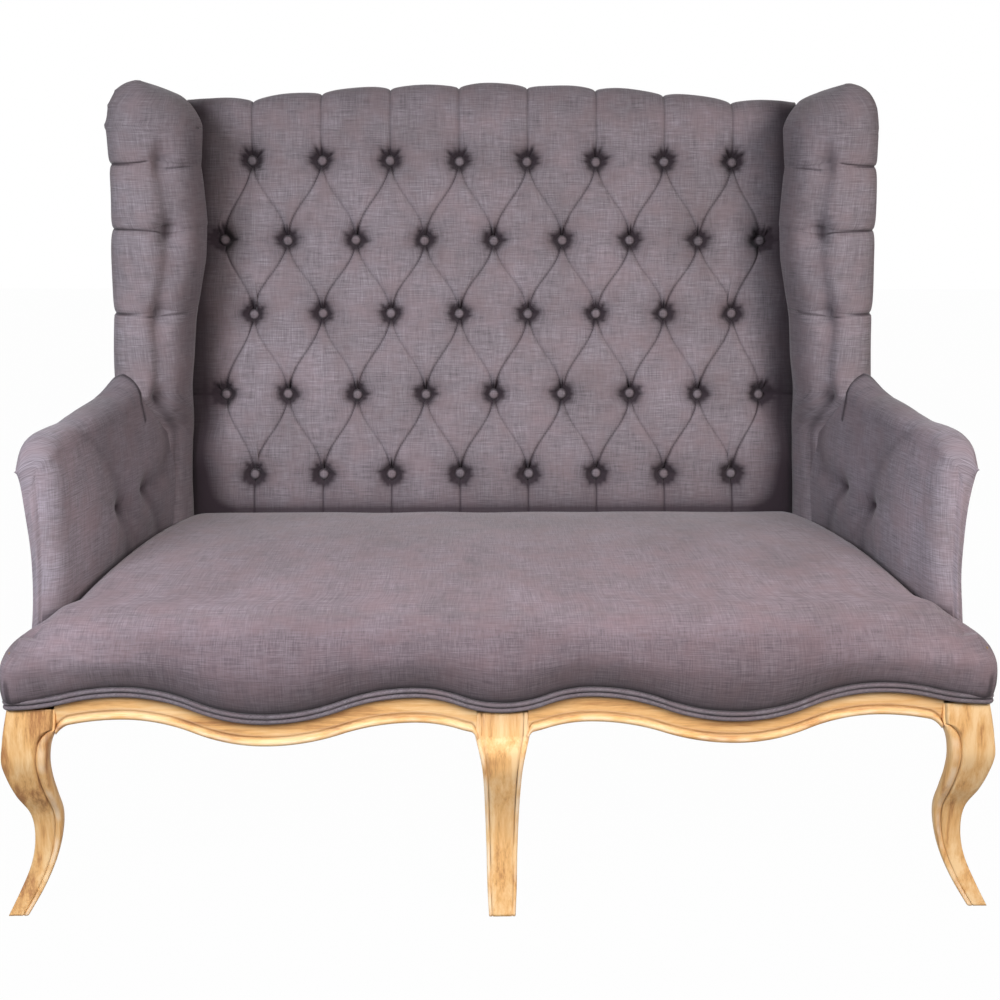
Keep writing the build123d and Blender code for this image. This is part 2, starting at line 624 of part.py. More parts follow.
rail_start = stump_y + (ARM_RAIL_Z[0] - ARM_BASE) * ARM_SIN / ARM_COS
rail_end_x = POST_X + POST_W / 2
with BuildPart() as arm_rail:
    with BuildSketch(Plane.XY.offset(ARM_RAIL_Z[0])):
        with BuildLine():
            far = REAR_Y + 60
            Polyline((stump_x - STUMP_W / 2, rail_start), (stump_x + STUMP_W / 2, rail_start),
                     (rail_end_x + STUMP_W / 2, far), (rail_end_x - STUMP_W / 2, far), close=True)
        make_face()
    extrude(amount=ARM_RAIL_Z[1] - ARM_RAIL_Z[0])
    add(arm_stump.part, mode=Mode.SUBTRACT)
    add(behind_frame, mode=Mode.SUBTRACT)
arm_rail_body = arm_rail.part.solids().sort_by(Axis.Y)[-1]
keep_pair(arm_rail_body, "arm_rail")

board_x = POST_X + POST_W - BOARD_T
board_top = POST_TOP - 20
board_front = wing_front(board_top) + BOARD_IN
with BuildPart() as wing_board:
    with BuildSketch(Plane.YZ.offset(board_x)):
        with BuildLine():
            low = ARM_RAIL_Z[1]
            Polyline((REAR_Y + 200, board_top), (REAR_Y + 200, low),
                     (wing_front(low) + BOARD_IN, low),
                     (board_front, board_top - 70))
            ThreePointArc((board_front, board_top - 70), (board_front + 20, board_top - 20),
                          (board_front + 70, board_top))
            Line((board_front + 70, board_top), (REAR_Y + 200, board_top))
        make_face()
    extrude(amount=BOARD_T)
    add(behind_frame, mode=Mode.SUBTRACT)
keep_pair(wing_board.part, "wing_board")

tip_front = (ARM_FRONT, ARM_BASE + (ARM_TOP - ARM_BASE - 52) * ARM_COS)
tip_back = (ARM_BACK + 60, tip_front[1] + ARM_RISE)
with BuildPart() as above_tip:
    with BuildSketch(Plane.YZ):
        with BuildLine():
            Polyline((tip_front[0] - 100, tip_front[1]), tip_back, (tip_back[0], FAR),
                     (tip_front[0] - 100, FAR), close=True)
        make_face()
    extrude(amount=FAR)

wood = [rear_post.part, lower_rail.part, arm_rail_body, arm_stump.part, wing_board.part]
with BuildPart() as arm_panel:
    add(arm_body)
    add(arm_inside_panel, mode=Mode.SUBTRACT)
    add(above_tip.part, mode=Mode.SUBTRACT)
    with BuildSketch(Plane.XY.offset(WELT_TOP)):
        with BuildLine():
            start = ARM_FRONT + NOSE_LONG / 2
            Polyline((side_x(start, REBATE), start), (arm_outer(start), start),
                     (arm_outer(ARM_BACK), ARM_BACK), (side_x(ARM_BACK, REBATE), ARM_BACK),
                     close=True)
        make_face()
    extrude(amount=ARM_BASE - WELT_TOP)
    add(beyond_back, mode=Mode.SUBTRACT)
arm_panel_body = arm_panel.part.solids().sort_by(SortBy.VOLUME)[-1]
keep_pair(arm_panel_body, "outside_arm_panel")

with BuildPart() as arm_cover:
    add(arm_body)
    add(arm_core, mode=Mode.SUBTRACT)
    add(arm_panel_body, mode=Mode.SUBTRACT)
    add([back_zone, beyond_back] + wood, mode=Mode.SUBTRACT)
arm_cover_body = arm_cover.part.solids().sort_by(SortBy.VOLUME)[-1]
keep_pair(arm_cover_body, "arm_cover")

with BuildPart() as arm_pad:
    add(arm_filling)
    add([back_zone, beyond_back] + wood, mode=Mode.SUBTRACT)
arm_pad_body = arm_pad.part.solids().sort_by(SortBy.VOLUME)[-1]
keep_pair(arm_pad_body, "arm_padding")

# ---- wing padding and covers --------------------------------------------------------------
wing_rear_top = BACK_TOP - (crest_v(0) - crest_v(BACK_HALF)) * COS_R - WING_CORNER


def wing_fall(form, drop=0.0):
    """Cuts a wing's form along its top, which falls towards the back's corner."""
    start = (wing_front(WING_TOP) + 60, WING_TOP + 1 - drop)
    end = (back_y(wing_rear_top, FRAME_REAR) + 20, wing_rear_top - drop)
    middle = ((start[0] + end[0]) / 2, (start[1] + end[1]) / 2 + 9)
    with BuildPart() as fallen:
        add(form)
        with BuildSketch(Plane.YZ.offset(BACK_HALF - 60)):
            with BuildLine():
                ThreePointArc(start, middle, end)
                Polyline(end, (end[0], WING_TOP + 60), (start[0], WING_TOP + 60), start)
            make_face()
        extrude(amount=FAR, mode=Mode.SUBTRACT)
    return fallen.part


wing_outer = wing_fall(wing_body)
wing_inner = wing_fall(wing_core, CLOTH_T)

panel_top = WING_TOP - 63
panel_front = wing_front(panel_top)
with BuildPart() as wing_panel:
    with BuildSketch(Plane.YZ.offset(WING_HALF - PANEL_T)):
        with BuildLine():
            far = back_y(panel_top, FRAME_REAR)
            Polyline((far, panel_top), (back_y(WING_FOOT - 20, FRAME_REAR), WING_FOOT - 20),
                     (wing_front(WING_FOOT) + 44, WING_FOOT - 20),
                     (panel_front + 44, panel_top - 50))
            ThreePointArc((panel_front + 44, panel_top - 50), (panel_front + 60, panel_top - 13),
                          (panel_front + 96, panel_top))
            Line((panel_front + 96, panel_top), (far, panel_top))
        make_face()
    extrude(amount=PANEL_T)
    add([arm_body, beyond_back], mode=Mode.SUBTRACT)
wing_panel_body = wing_panel.part.solids().sort_by(SortBy.VOLUME)[-1]
keep_pair(wing_panel_body, "outside_wing_panel")

wing_cuts = [arm_body, beyond_back, rear_post.part, arm_rail_body,
             wing_board.part, top_rail.part, wing_panel_body]
with BuildPart() as wing_cover:
    add(wing_outer)
    add(wing_inner, mode=Mode.SUBTRACT)
    add(wing_cuts, mode=Mode.SUBTRACT)
wing_cover_body = wing_cover.part.solids().sort_by(SortBy.VOLUME)[-1]
keep_pair(wing_cover_body, "wing_cover")

with BuildPart() as wing_pad:
    add(wing_inner)
    add(wing_cuts + [arm_pad_body], mode=Mode.SUBTRACT)
wing_pad_body = wing_pad.part.solids().sort_by(SortBy.VOLUME)[-1]
keep_pair(wing_pad_body, "wing_padding")


# ---- the tufted back ----------------------------------------------------------------------
row_heights = [SEAT_LINE + share * (BACK_TOP - SEAT_LINE) for share in BUTTON_ROWS]


def button_row(row):
    """Places along one row: eight buttons in the odd rows, nine in the even ones."""
    if row % 2 == 0:
        return [(place - 3.5) * BUTTON_PITCH for place in range(8)]
    return [-EDGE_U] + [(place - 3) * BUTTON_PITCH for place in range(7)] + [EDGE_U]


button_rows = [[(u, slope_v(z)) for u in button_row(row)] for row, z in enumerate(row_heights)]
buttons = [place for row in button_rows for place in row]
pleats = []
for upper, lower in zip(button_rows, button_rows[1:]):
    for u, v in upper:
        pleats += [((u, v), place) for place in lower if abs(place[0] - u) < BUTTON_PITCH * 0.75]
for u, v in button_rows[0]:
    pleats.append(((u, v), (u, crest_v(u) + 5)))
for u, v in button_rows[-1]:
    pleats.append(((u, v), (u, BACK_LOW - 5)))
for row in (1, 3):
    for u, v in (button_rows[row][0], button_rows[row][-1]):
        pleats.append(((u, v), (BACK_HALF + 5 if u > 0 else -BACK_HALF - 5, v)))


def pleat_cut(start, end, width, deep):
    """Valley between two tufts: a shallow slope that steepens towards the fold."""
    a = BACK_PLANE.from_local_coords((start[0], start[1], PEAK_OUT))
    b = BACK_PLANE.from_local_coords((end[0], end[1], PEAK_OUT))
    run = Plane(origin=a, x_dir=(b - a).cross(BACK_PLANE.z_dir), z_dir=b - a)
    side = -1 if run.y_dir.dot(BACK_PLANE.z_dir) > 0 else 1
    with BuildPart() as cut:
        with BuildSketch(run):
            with BuildLine():
                Polyline((-width / 2, side * -4), (-width / 2, 0), (-width / 4, side * deep * 0.3),
                         (-width / 12, side * deep * 0.66), (0, side * deep),
                         (width / 12, side * deep * 0.66), (width / 4, side * deep * 0.3),
                         (width / 2, 0), (width / 2, side * -4), close=True)
            make_face()
        extrude(amount=(b - a).length)
    return cut.part


pleat_cuts = [pleat_cut(start, end, PLEAT_W, PLEAT_DEEP) for start, end in pleats]

with BuildPart() as dimple:
    deep = PEAK_OUT - BUTTON_SEAT
    with Locations((0, 0, BUTTON_SEAT + deep / 2 + 1)):
        Cone(BUTTON_D / 2 + 1.5, DIMPLE_D / 2, deep + 2)
with BuildPart() as twine_hole:
    with Locations((0, 0, (BUTTON_SEAT + FRAME_FRONT) / 2)):
        Cylinder(TWINE_D / 2 + FIT, BUTTON_SEAT - FRAME_FRONT + 2)
places = [BACK_PLANE * Pos(u, v, 0) for u, v in buttons]
dimples = [place * dimple.part for place in places]
twine_holes = [place * twine_hole.part for place in places]

notches = []
for u, v in button_rows[0]:
    with BuildPart() as notch:
        with BuildSketch(BACK_PLANE.offset(FRAME_REAR - 2)):
            with BuildLine():
                t = crest_v(u)
                Polyline((u - PLEAT_W / 2, t + 8), (u - PLEAT_W / 2, t), (u - 9, t - 3.5),
                         (u, t - CREST_NOTCH), (u + 9, t - 3.5), (u + PLEAT_W / 2, t),
                         (u + PLEAT_W / 2, t + 8), close=True)
            make_face()
        extrude(amount=PEAK_OUT - FRAME_REAR + 4)
    notches.append(notch.part)

inside = crest_slab(BACK_HALF + 1, BACK_LOW - 20, ROLL, FRAME_REAR - 1, FOAM_FRONT)
with BuildPart() as back_cover:
    add(back_zone)
    add(inside, mode=Mode.SUBTRACT)
    add(pleat_cuts + notches, mode=Mode.SUBTRACT)
    add(dimples, mode=Mode.SUBTRACT)
    add(twine_holes, mode=Mode.SUBTRACT)
back_cover_body = back_cover.part.solids().sort_by(SortBy.VOLUME)[-1]
keep(back_cover_body, "inside_back_cover")

with BuildPart() as back_foam:
    add(crest_slab(BACK_HALF, BACK_LOW, ROLL, WEB_FRONT, FOAM_FRONT))
    add(twine_holes, mode=Mode.SUBTRACT)
keep(back_foam.part, "back_foam")

with BuildPart() as back_hessian:
    add(crest_slab(BACK_HALF, slope_v(LOW_RAIL_Z[0]) + 3, ROLL, FRAME_FRONT, WEB_FRONT))
    add(twine_holes, mode=Mode.SUBTRACT)
keep(back_hessian.part, "back_hessian")

with BuildPart() as back_button:
    with BuildSketch(Plane.XZ):
        with BuildLine():
            Polyline((0, BUTTON_H), (0, 0), (BUTTON_D / 2 - 1.5, 0), (BUTTON_D / 2, 2.5))
            ThreePointArc((BUTTON_D / 2, 2.5), (BUTTON_D / 3.1, BUTTON_H - 1.7), (3, BUTTON_H))
            Line((3, BUTTON_H), (0, BUTTON_H))
        make_face()
    revolve(axis=Axis.Z)
with BuildPart() as back_buttons:
    add([place * Pos(0, 0, BUTTON_SEAT) * back_button.part for place in places])
keep(back_buttons.part, "back_buttons")

with BuildPart() as twine:
    with Locations((0, 0, (BUTTON_SEAT + FRAME_FRONT) / 2)):
        Cylinder(TWINE_D / 2, BUTTON_SEAT - FRAME_FRONT)
with BuildPart() as button_twines:
    add([place * twine.part for place in places])
keep(button_twines.part, "button_twines")

# ---- outside back ---------------------------------------------------------------------------
outside_low = slope_v(WOOD_BAND[-1] + 16)
corner_v = slope_v(WING_TOP - 79)
corner_middle = (corner_v + crest_v(BACK_HALF + 40)) / 2 + 8
with BuildPart() as outside_back:
    with BuildSketch(BACK_PLANE.offset(FRAME_REAR)):
        with BuildLine():
            crest = ThreePointArc((-BACK_HALF, crest_v(BACK_HALF) - 3), (0, crest_v(0) - 3),
                                  (BACK_HALF, crest_v(BACK_HALF) - 3))
            right = ThreePointArc(crest @ 1, (WING_HALF - 22, corner_middle),
                                  (WING_HALF, corner_v))
            left = ThreePointArc(crest @ 0, (22 - WING_HALF, corner_middle),
                                 (-WING_HALF, corner_v))
            Polyline(right @ 1, (REAR_HALF - 2, outside_low), (2 - REAR_HALF, outside_low),
                     left @ 1)
        make_face()
    extrude(amount=-COVER_T)
keep(outside_back.part, "outside_back_cover")

# ---- seat -----------------------------------------------------------------------------------
seat_ends = FRONT_HALF + SEAT_SIDE


def seat_form(draw):
    """The tight seat's form, or what is left inside its cloth."""
    front = RAIL_Y - SEAT_BULGE + draw
    side = seat_ends - draw
    arm_line = ARM_FRONT + 14 - draw
    rear = back_y(SEAT_REAR)
    low = WOOD_BAND[-1] - 60
    roll = 1 - cos(radians(45))
    with BuildPart() as form:
        with BuildSketch(Plane.YZ):
            with BuildLine():
                crown = ThreePointArc((front + SEAT_ROLL, SEAT_FRONT - draw),
                                      ((front + rear) / 2, SEAT_CROWN - draw),
                                      (rear, SEAT_REAR - draw))
                ThreePointArc((front, SEAT_FRONT - draw - SEAT_ROLL),
                              (front + SEAT_ROLL * roll, SEAT_FRONT - draw - SEAT_ROLL * roll),
                              crown @ 0)
                Polyline(crown @ 1, (rear, low), (front + TUCK_IN, low),
                         (front + TUCK_IN, TUCK_Z[0]), (front, TUCK_Z[1]),
                         (front, SEAT_FRONT - draw - SEAT_ROLL))
            make_face()
        extrude(amount=side, both=True)
        with BuildSketch(Plane.XZ):
            with BuildLine():
                top = SEAT_FRONT - draw + 2
                Polyline((side, top - SIDE_ROLL), (side, TUCK_Z[1]), (side - TUCK_IN, TUCK_Z[0]),
                         (side - TUCK_IN, low), (TUCK_IN - side, low),
                         (TUCK_IN - side, TUCK_Z[0]), (-side, TUCK_Z[1]), (-side, top - SIDE_ROLL))
                reach = SIDE_ROLL * roll
                right = ThreePointArc((side, top - SIDE_ROLL), (side - reach, top - reach),
                                      (side - SIDE_ROLL, top))
                left = ThreePointArc((-side, top - SIDE_ROLL), (reach - side, top - reach),
                                     (SIDE_ROLL - side, top))
                Polyline(right @ 1, (side - SIDE_ROLL, FAR), (SIDE_ROLL - side, FAR), left @ 1)
            make_face()
        extrude(amount=FAR, both=True, mode=Mode.INTERSECT)
        with BuildSketch(Plane.XY.offset(low)):
            with BuildLine():
                nose = arm_outer(ARM_FRONT) - 22
                Polyline((-FAR, front - 5), (FAR, front - 5), (FAR, arm_line), (nose, arm_line),
                         (ARM_INNER + 15, ARM_FULL), (BACK_HALF + 10, rear),
                         (-BACK_HALF - 10, rear), (-ARM_INNER - 15, ARM_FULL),
                         (-nose, arm_line), (-FAR, arm_line), close=True)
            make_face()
        extrude(amount=FAR, mode=Mode.INTERSECT)
    return form.part


def both_hands(part):
    return [part, mirror(part, about=Plane.YZ)]


def between_rails(y0, y1, inset, z0, z1):
    """Block between two heights whose sides follow the side rails, set in from their faces."""
    with BuildPart() as block:
        with BuildSketch(Plane.XY.offset(z0)):
            with BuildLine():
                Polyline((side_x(y0, inset), y0), (side_x(y1, inset), y1),
                         (-side_x(y1, inset), y1), (-side_x(y0, inset), y0), close=True)
            make_face()
        extrude(amount=z1 - z0)
    return block.part


# the seat is cut back to the welt all round, and to nothing below the bare wood's top
band_top = WOOD_BAND[-1]
before = RAIL_Y - 90
frame_zone = between_rails(RAIL_Y + REBATE, REAR_Y + 60, REBATE, 200, DECK_Z + DECK_T)
front_welt = under_wave(WOOD_BAND, WELT_TOP - band_top, before, RAIL_Y + 3)
front_skirt = under_wave(WOOD_BAND, 0, before, RAIL_Y + 60)
in_welt = between_rails(before, FAR, 3, 0, FAR)
in_skirt = between_rails(before, FAR, REBATE, 0, FAR)
end_welt = slab(-FAR, FAR, before, FAR, 200, WELT_TOP) - in_welt
end_skirt = slab(-FAR, FAR, before, FAR, 200, band_top) - in_skirt
seat_cuts = both_hands(front_welt) + both_hands(front_skirt) + both_hands(arm_body)
seat_cuts += both_hands(corner_leg.part) + [back_zone, frame_zone, end_welt, end_skirt]

with BuildPart() as seat_cover:
    add(seat_form(0))
    add(seat_form(CLOTH_T), mode=Mode.SUBTRACT)
    add(seat_cuts, mode=Mode.SUBTRACT)
seat_cover_body = seat_cover.part.solids().sort_by(SortBy.VOLUME)[-1]
keep(seat_cover_body, "seat_cover")

with BuildPart() as seat_foam:
    add(seat_form(CLOTH_T))
    add(seat_cuts + both_hands(arm_panel_body), mode=Mode.SUBTRACT)
seat_foam_body = seat_foam.part.solids().sort_by(SortBy.VOLUME)[-1]
keep(seat_foam_body, "seat_foam")

# ---- double welt ----------------------------------------------------------------------------
welt_turn = 90 + degrees(atan(SPLAY))
turn_share = sin(radians(welt_turn)) + (1 - cos(radians(welt_turn))) * SPLAY
turn_radius = (REBATE + WELT_OUT + WELT_OUT * SPLAY) / turn_share
for name, cord in (("welt_lower_cord", 0), ("welt_upper_cord", 1)):
    lift = WELT_D / 2 + WELT_GAP + cord * (WELT_D + WELT_GAP)
    level = WOOD_BAND[-1] + lift
    front_end = (FRONT_HALF - REBATE, 0, level)
    with BuildPart() as welt:
        with BuildLine(Plane.XZ):
            wave(WOOD_BAND, lift)
        with BuildSketch(Plane.YZ):
            with Locations((0, WOOD_BAND[0] + lift)):
                Circle(WELT_D / 2)
        sweep()
        with BuildLine():
            corner = JernArc(front_end, (1, 0), turn_radius, welt_turn)
            reach = back_y(level, FRAME_REAR) - RAIL_Y - (corner @ 1).Y
            Line(corner @ 1, corner @ 1 + Vector(-SPLAY * reach, reach))
        with BuildSketch(Plane(origin=front_end, z_dir=(1, 0, 0))):
            Circle(WELT_D / 2)
        sweep()
    right = Pos(0, RAIL_Y - WELT_OUT, 0) * welt.part
    with BuildPart() as both_welts:
        add(both_hands(right))
    keep(both_welts.part, name)

# ---- springs, deck and dust cover -----------------------------------------------------------
spring_from = RAIL_Y + (REBATE + RAIL_T) / 2
spring_to = back_y(RAIL_TOP, (FRAME_FRONT + FRAME_REAR) / 2)
spring_pitch = (spring_to - spring_from) / SPRING_BENDS
spring_z = RAIL_TOP + WIRE_D / 2 + FIT
straight = (SPRING_W - spring_pitch) / 2
with BuildPart() as spring:
    with BuildLine(Plane.XY.offset(spring_z)):
        for bend in range(SPRING_BENDS + 1):
            y = spring_from + bend * spring_pitch
            hand = 1 if bend % 2 == 0 else -1
            Line((-hand * straight, y), (hand * straight, y))
            if bend < SPRING_BENDS:
                ThreePointArc((hand * straight, y),
                              (hand * (straight + spring_pitch / 2), y + spring_pitch / 2),
                              (hand * straight, y + spring_pitch))
    with BuildSketch(Plane(origin=(-straight, spring_from, spring_z), z_dir=(1, 0, 0))):
        Circle(WIRE_D / 2)
    sweep()

spring_step = (BACK_HALF - SPRING_IN - SPRING_EDGE) / (SPRING_SIDE - 1)
spring_x = [SPRING_EDGE + spring_step * place for place in range(SPRING_SIDE)]
spring_x += [-x for x in spring_x]
with BuildPart() as seat_springs:
    add([Pos(x, 0, 0) * spring.part for x in spring_x])
keep(seat_springs.part, "seat_springs")

with BuildPart() as spring_clips:
    for x in spring_x:
        for y in (spring_from, spring_to):
            with Locations((x, y, RAIL_TOP + CLIP[2] / 2)):
                Box(*CLIP)
            with Locations(Location((x, y, spring_z), (0, 90, 0))):
                Cylinder(WIRE_D / 2 + FIT / 2, CLIP[0] + 2, mode=Mode.SUBTRACT)
keep(spring_clips.part, "spring_clips")

with BuildPart() as seat_deck:
    add(between_rails(RAIL_Y + REBATE + 1, spring_to + 6, REBATE + 1, DECK_Z, DECK_Z + DECK_T))
    add([back_zone, back_foam.part, back_hessian.part], mode=Mode.SUBTRACT)
    add(both_hands(rear_post.part) + both_hands(arm_stump.part), mode=Mode.SUBTRACT)
    add(both_hands(arm_body), mode=Mode.SUBTRACT)
keep(seat_deck.part.solids().sort_by(SortBy.VOLUME)[-1], "seat_deck")

dust_top = BLOCK_Z[0]
with BuildPart() as dust_cover:
    add(between_rails(RAIL_Y + RAIL_T, REAR_Y, RAIL_T, dust_top - DUST_T, dust_top))
    add(behind_frame, mode=Mode.SUBTRACT)
    add(both_hands(corner_leg.part) + [centre_leg.part], mode=Mode.SUBTRACT)
keep(dust_cover.part.solids().sort_by(SortBy.VOLUME)[-1], "dust_cover")
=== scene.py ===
from math import cos, pi, radians, sin, tan

import bmesh
import bpy
import numpy as np
from mathutils import Matrix, Vector


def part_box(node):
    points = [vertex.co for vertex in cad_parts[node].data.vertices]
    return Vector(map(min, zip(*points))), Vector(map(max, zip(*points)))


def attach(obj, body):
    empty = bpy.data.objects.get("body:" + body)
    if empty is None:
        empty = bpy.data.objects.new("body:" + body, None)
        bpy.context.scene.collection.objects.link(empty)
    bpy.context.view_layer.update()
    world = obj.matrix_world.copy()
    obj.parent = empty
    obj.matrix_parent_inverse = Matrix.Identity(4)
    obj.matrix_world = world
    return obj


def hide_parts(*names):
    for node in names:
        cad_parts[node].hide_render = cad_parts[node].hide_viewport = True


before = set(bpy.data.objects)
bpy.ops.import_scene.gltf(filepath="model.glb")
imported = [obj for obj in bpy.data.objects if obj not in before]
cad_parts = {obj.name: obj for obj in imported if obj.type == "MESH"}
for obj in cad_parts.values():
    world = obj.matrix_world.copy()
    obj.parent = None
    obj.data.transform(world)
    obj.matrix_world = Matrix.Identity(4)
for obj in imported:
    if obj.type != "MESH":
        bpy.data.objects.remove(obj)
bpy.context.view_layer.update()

# ---- sizes of the settee, in metres ---------------------------------------------------------
FRONT_HALF = 0.725      # half width of the rails at the front corners
REAR_HALF = 0.655       # and at the rear posts
RAIL_Y = -0.408         # front plane of the bare wood
REBATE = 0.008          # step that the upholstery is tacked into
WOOD_BAND = (0.3155, 0.340, 0.2995, 0.344, 0.3245)      # top of the bare wood at CURVE_X
RAIL_EDGE = (0.2795, 0.3005, 0.2645, 0.3085, 0.2915)    # and its lower edge
RAIL_T = 0.028
BEAD_H = 0.010          # carved bead along the lower edge
BEAD_OUT = 0.004
CENTRE_HALF = 0.037     # half width of the block between the front rails
# corner legs: heights, how far the outer corner stands out from the rails' corner, and width
LEG_Z = (0, 0.030, 0.068, 0.110, 0.150, 0.185, 0.215, 0.245, 0.272, 0.2915)
LEG_OUT = (0.016, 0.0015, -0.014, -0.021, -0.018, -0.004, 0.0045, 0.0095, 0.007, 0)
LEG_WIDE = (0.0295, 0.033, 0.0345, 0.039, 0.0465, 0.0575, 0.0625, 0.067, 0.0685, 0.072)
BACK_CUT = 0.66         # cut across the leg's inner corner, as a share of its width
# centre leg: heights, its face from the rails' front plane, width and depth
CENTRE_Z = (0, 0.035, 0.080, 0.120, 0.160, 0.200, 0.235, 0.258, 0.2785)
CENTRE_Y = (-0.032, -0.018, -0.004, 0.003, 0, -0.010, -0.017, -0.014, 0)
CENTRE_WIDE = (0.040, 0.044, 0.046, 0.0485, 0.0515, 0.055, 0.061, 0.070, 0.082)
CENTRE_DEEP = (0.034, 0.035, 0.036, 0.038, 0.042, 0.048, 0.054, 0.056, 0.056)
CURVE_X = (0.0, 0.129, 0.348, 0.558, FRONT_HALF - REBATE)
BACK_Y = 0.1885         # plane of the back's buttons at the seat line
SEAT_LINE = 0.45
RAKE = radians(12.6)
SLOPE = tan(RAKE)
BACK_HALF = 0.560
BACK_TOP = 1.239
CREST_SAG = 0.0328      # how much lower the crest is at CREST_AT from the middle
CREST_AT = 0.490
PEAK_OUT = 0.020        # the tufts' crowns in front of the button plane
FRAME_REAR = -0.075     # back of the back's frame behind that plane
COVER_T = 0.004         # cover with its wadding
WELT_D = 0.0076         # each cord of the double welt
WELT_GAP = 0.0002
WELT_OUT = 0.001        # the cords' middle lines beyond the bare wood's faces

BUTTON_PITCH = 0.1262
EDGE_PITCH = 0.115      # from the last inner button to the outer one in rows 2 and 4
BUTTON_ROWS = (1.093, 0.952, 0.820, 0.676, 0.532)       # heights
BUTTON_D = 0.021
BUTTON_H = 0.009
BUTTON_SEAT = -0.002    # the buttons' backs behind the plane they are set out on

WING_HALF = 0.658       # outer faces of the wings from the middle
WING_FOOT = 0.715       # height of the wings' foot, on the arms
WING_FRONT = 0.065      # Y of their front there
WING_TAN = tan(radians(6.8))    # and how it leans back
# heights, and the inner roll from the middle of the settee
WING_INNER = ((0.455, 0.60, 0.70, 0.755, 0.823, 0.93, 0.99, 1.085, 1.157),
              (0.553, 0.553, 0.545, 0.536, 0.531, 0.510, 0.505, 0.514, 0.508))
WING_PLEATS = (0.842, 0.983, 1.090)     # heights
WING_TOP = 1.229
WING_REAR_TOP = 1.192

RAIL_TOP = 0.400        # top of the seat frame
ARM_TOP = 0.712
ARM_RISE = 0.020        # rise of the crest from front to back
ARM_LEAN = radians(10.6)
ARM_FRONT = -0.320
ARM_BACK = 0.262
ARM_INNER = 0.659       # inner face at the nose, from the middle
ARM_FULL = -0.278       # where the nose's rounding ends
ARM_TURN = 0.203        # how the inner face draws in behind that
FLARE = (0.017, -0.004)         # crest's outer edge beyond the foot: front, back
NOSE_TUCK = 0.032
PANEL_T = 0.003

SEAT_FRONT = 0.452      # top of the front roll
SEAT_CROWN = 0.478
SEAT_REAR = 0.468
SEAT_ROLL = 0.075       # rounding of the front, and of the ends
SIDE_ROLL = 0.085
SEAT_BULGE = 0.018      # how far the seat stands out over the rails: front, ends
SEAT_SIDE = 0.007

FAR = 9.0               # past everything
ACROSS = np.array((1.0, 0, 0))
BACK_O = np.array((0.0, BACK_Y, SEAT_LINE))
BACK_N = np.array((0.0, -cos(RAKE), sin(RAKE)))
BACK_V = np.array((0.0, sin(RAKE), cos(RAKE)))


def back_y(z, n=0.0):
    """Y of the plane that lies n in front of the buttons, at height z."""
    return BACK_Y + (z - SEAT_LINE) * SLOPE - n / cos(RAKE)


def slope_v(z, n=0.0):
    """Distance up the back's slope of a point at height z."""
    return (z - SEAT_LINE - n * sin(RAKE)) / cos(RAKE)


REAR_Y = back_y(RAIL_TOP, FRAME_REAR)
SPLAY = (FRONT_HALF - REAR_HALF) / (REAR_Y - RAIL_Y)


def on_back(u, v, n):
    """Points that lie u across, v up the slope and n in front of the back's button plane."""
    return BACK_O + u[..., None] * ACROSS + v[..., None] * BACK_V + n[..., None] * BACK_N


def side_x(y, inset=0.0):
    """X of the right side rail's outer face at y."""
    return FRONT_HALF - (y - RAIL_Y) * SPLAY - inset


def wave_z(x, heights=WOOD_BAND):
    """Height of the bare wood's top along the front: two tangent arcs between each two nodes."""
    x = np.abs(np.asarray(x, float))
    z = np.full(x.shape, heights[-1])
    for x0, x1, z0, z1 in zip(CURVE_X, CURVE_X[1:], heights, heights[1:]):
        half, rise = (x1 - x0) / 2, (z1 - z0) / 2
        radius = (half ** 2 + rise ** 2) / (2 * abs(rise))
        near = np.minimum(x - x0, x1 - x)
        drop = radius - np.sqrt(np.maximum(radius ** 2 - near ** 2, 0))
        here = (x >= x0) & (x <= x1)
        toward = np.where(x - x0 < half, z0 + np.sign(rise) * drop, z1 - np.sign(rise) * drop)
        z = np.where(here, toward, z)
    return z


def part(x, whole):
    """How much of the whole x is, kept between 0 and 1."""
    return np.clip(x / whole, 0, 1)


def bell(away, width, power=2):
    """1 on a line and close to 0 beyond its width, with a rounded top."""
    return np.exp(-(away / width) ** power)


def decay(away, width):
    """1 on a line, falling off sharply beside it."""
    return np.exp(-away / width)


# ---- materials ------------------------------------------------------------------------------
class Value:
    """A number that varies over a surface; sums on it add Math nodes."""

    def __init__(self, nodes, socket):
        self.nodes = nodes
        self.socket = socket

    def calc(self, operation, other):
        return self.nodes.node("ShaderNodeMath", {"operation": operation}, {0: self, 1: other})

    def __add__(self, other):
        return self.calc("ADD", other)

    def __mul__(self, other):
        return self.calc("MULTIPLY", other)

    __radd__ = __add__
    __rmul__ = __mul__


def rgba(colour):
    """A colour with its alpha, from three numbers or from one for a grey."""
    return (*colour, 1) if isinstance(colour, tuple) else (colour, colour, colour, 1)


class Nodes:
    """A node tree, with the one method that adds nodes to it."""

    def __init__(self, tree):
        self.tree = tree

    def node(self, kind, settings=None, sockets=None, out=0):
        """Adds a node: settings first, then the values or links of its inputs."""
        made = self.tree.nodes.new(kind)
        for key, value in (settings or {}).items():
            if key == "stops":
                ramp = made.color_ramp
                while len(ramp.elements) < len(value):
                    ramp.elements.new(0.5)
                for stop, (place, colour) in zip(ramp.elements, value):
                    stop.position = place
                    stop.color = rgba(colour)
            else:
                setattr(made, key, value)
        for key, value in (sockets or {}).items():
            self.give(made.inputs[key], value)
        return Value(self, made.outputs[out])

    def give(self, socket, value):
        """Links a value to a socket, or sets a constant on it."""
        if isinstance(value, Value):
            self.tree.links.new(value.socket, socket)
        else:
            socket.default_value = value


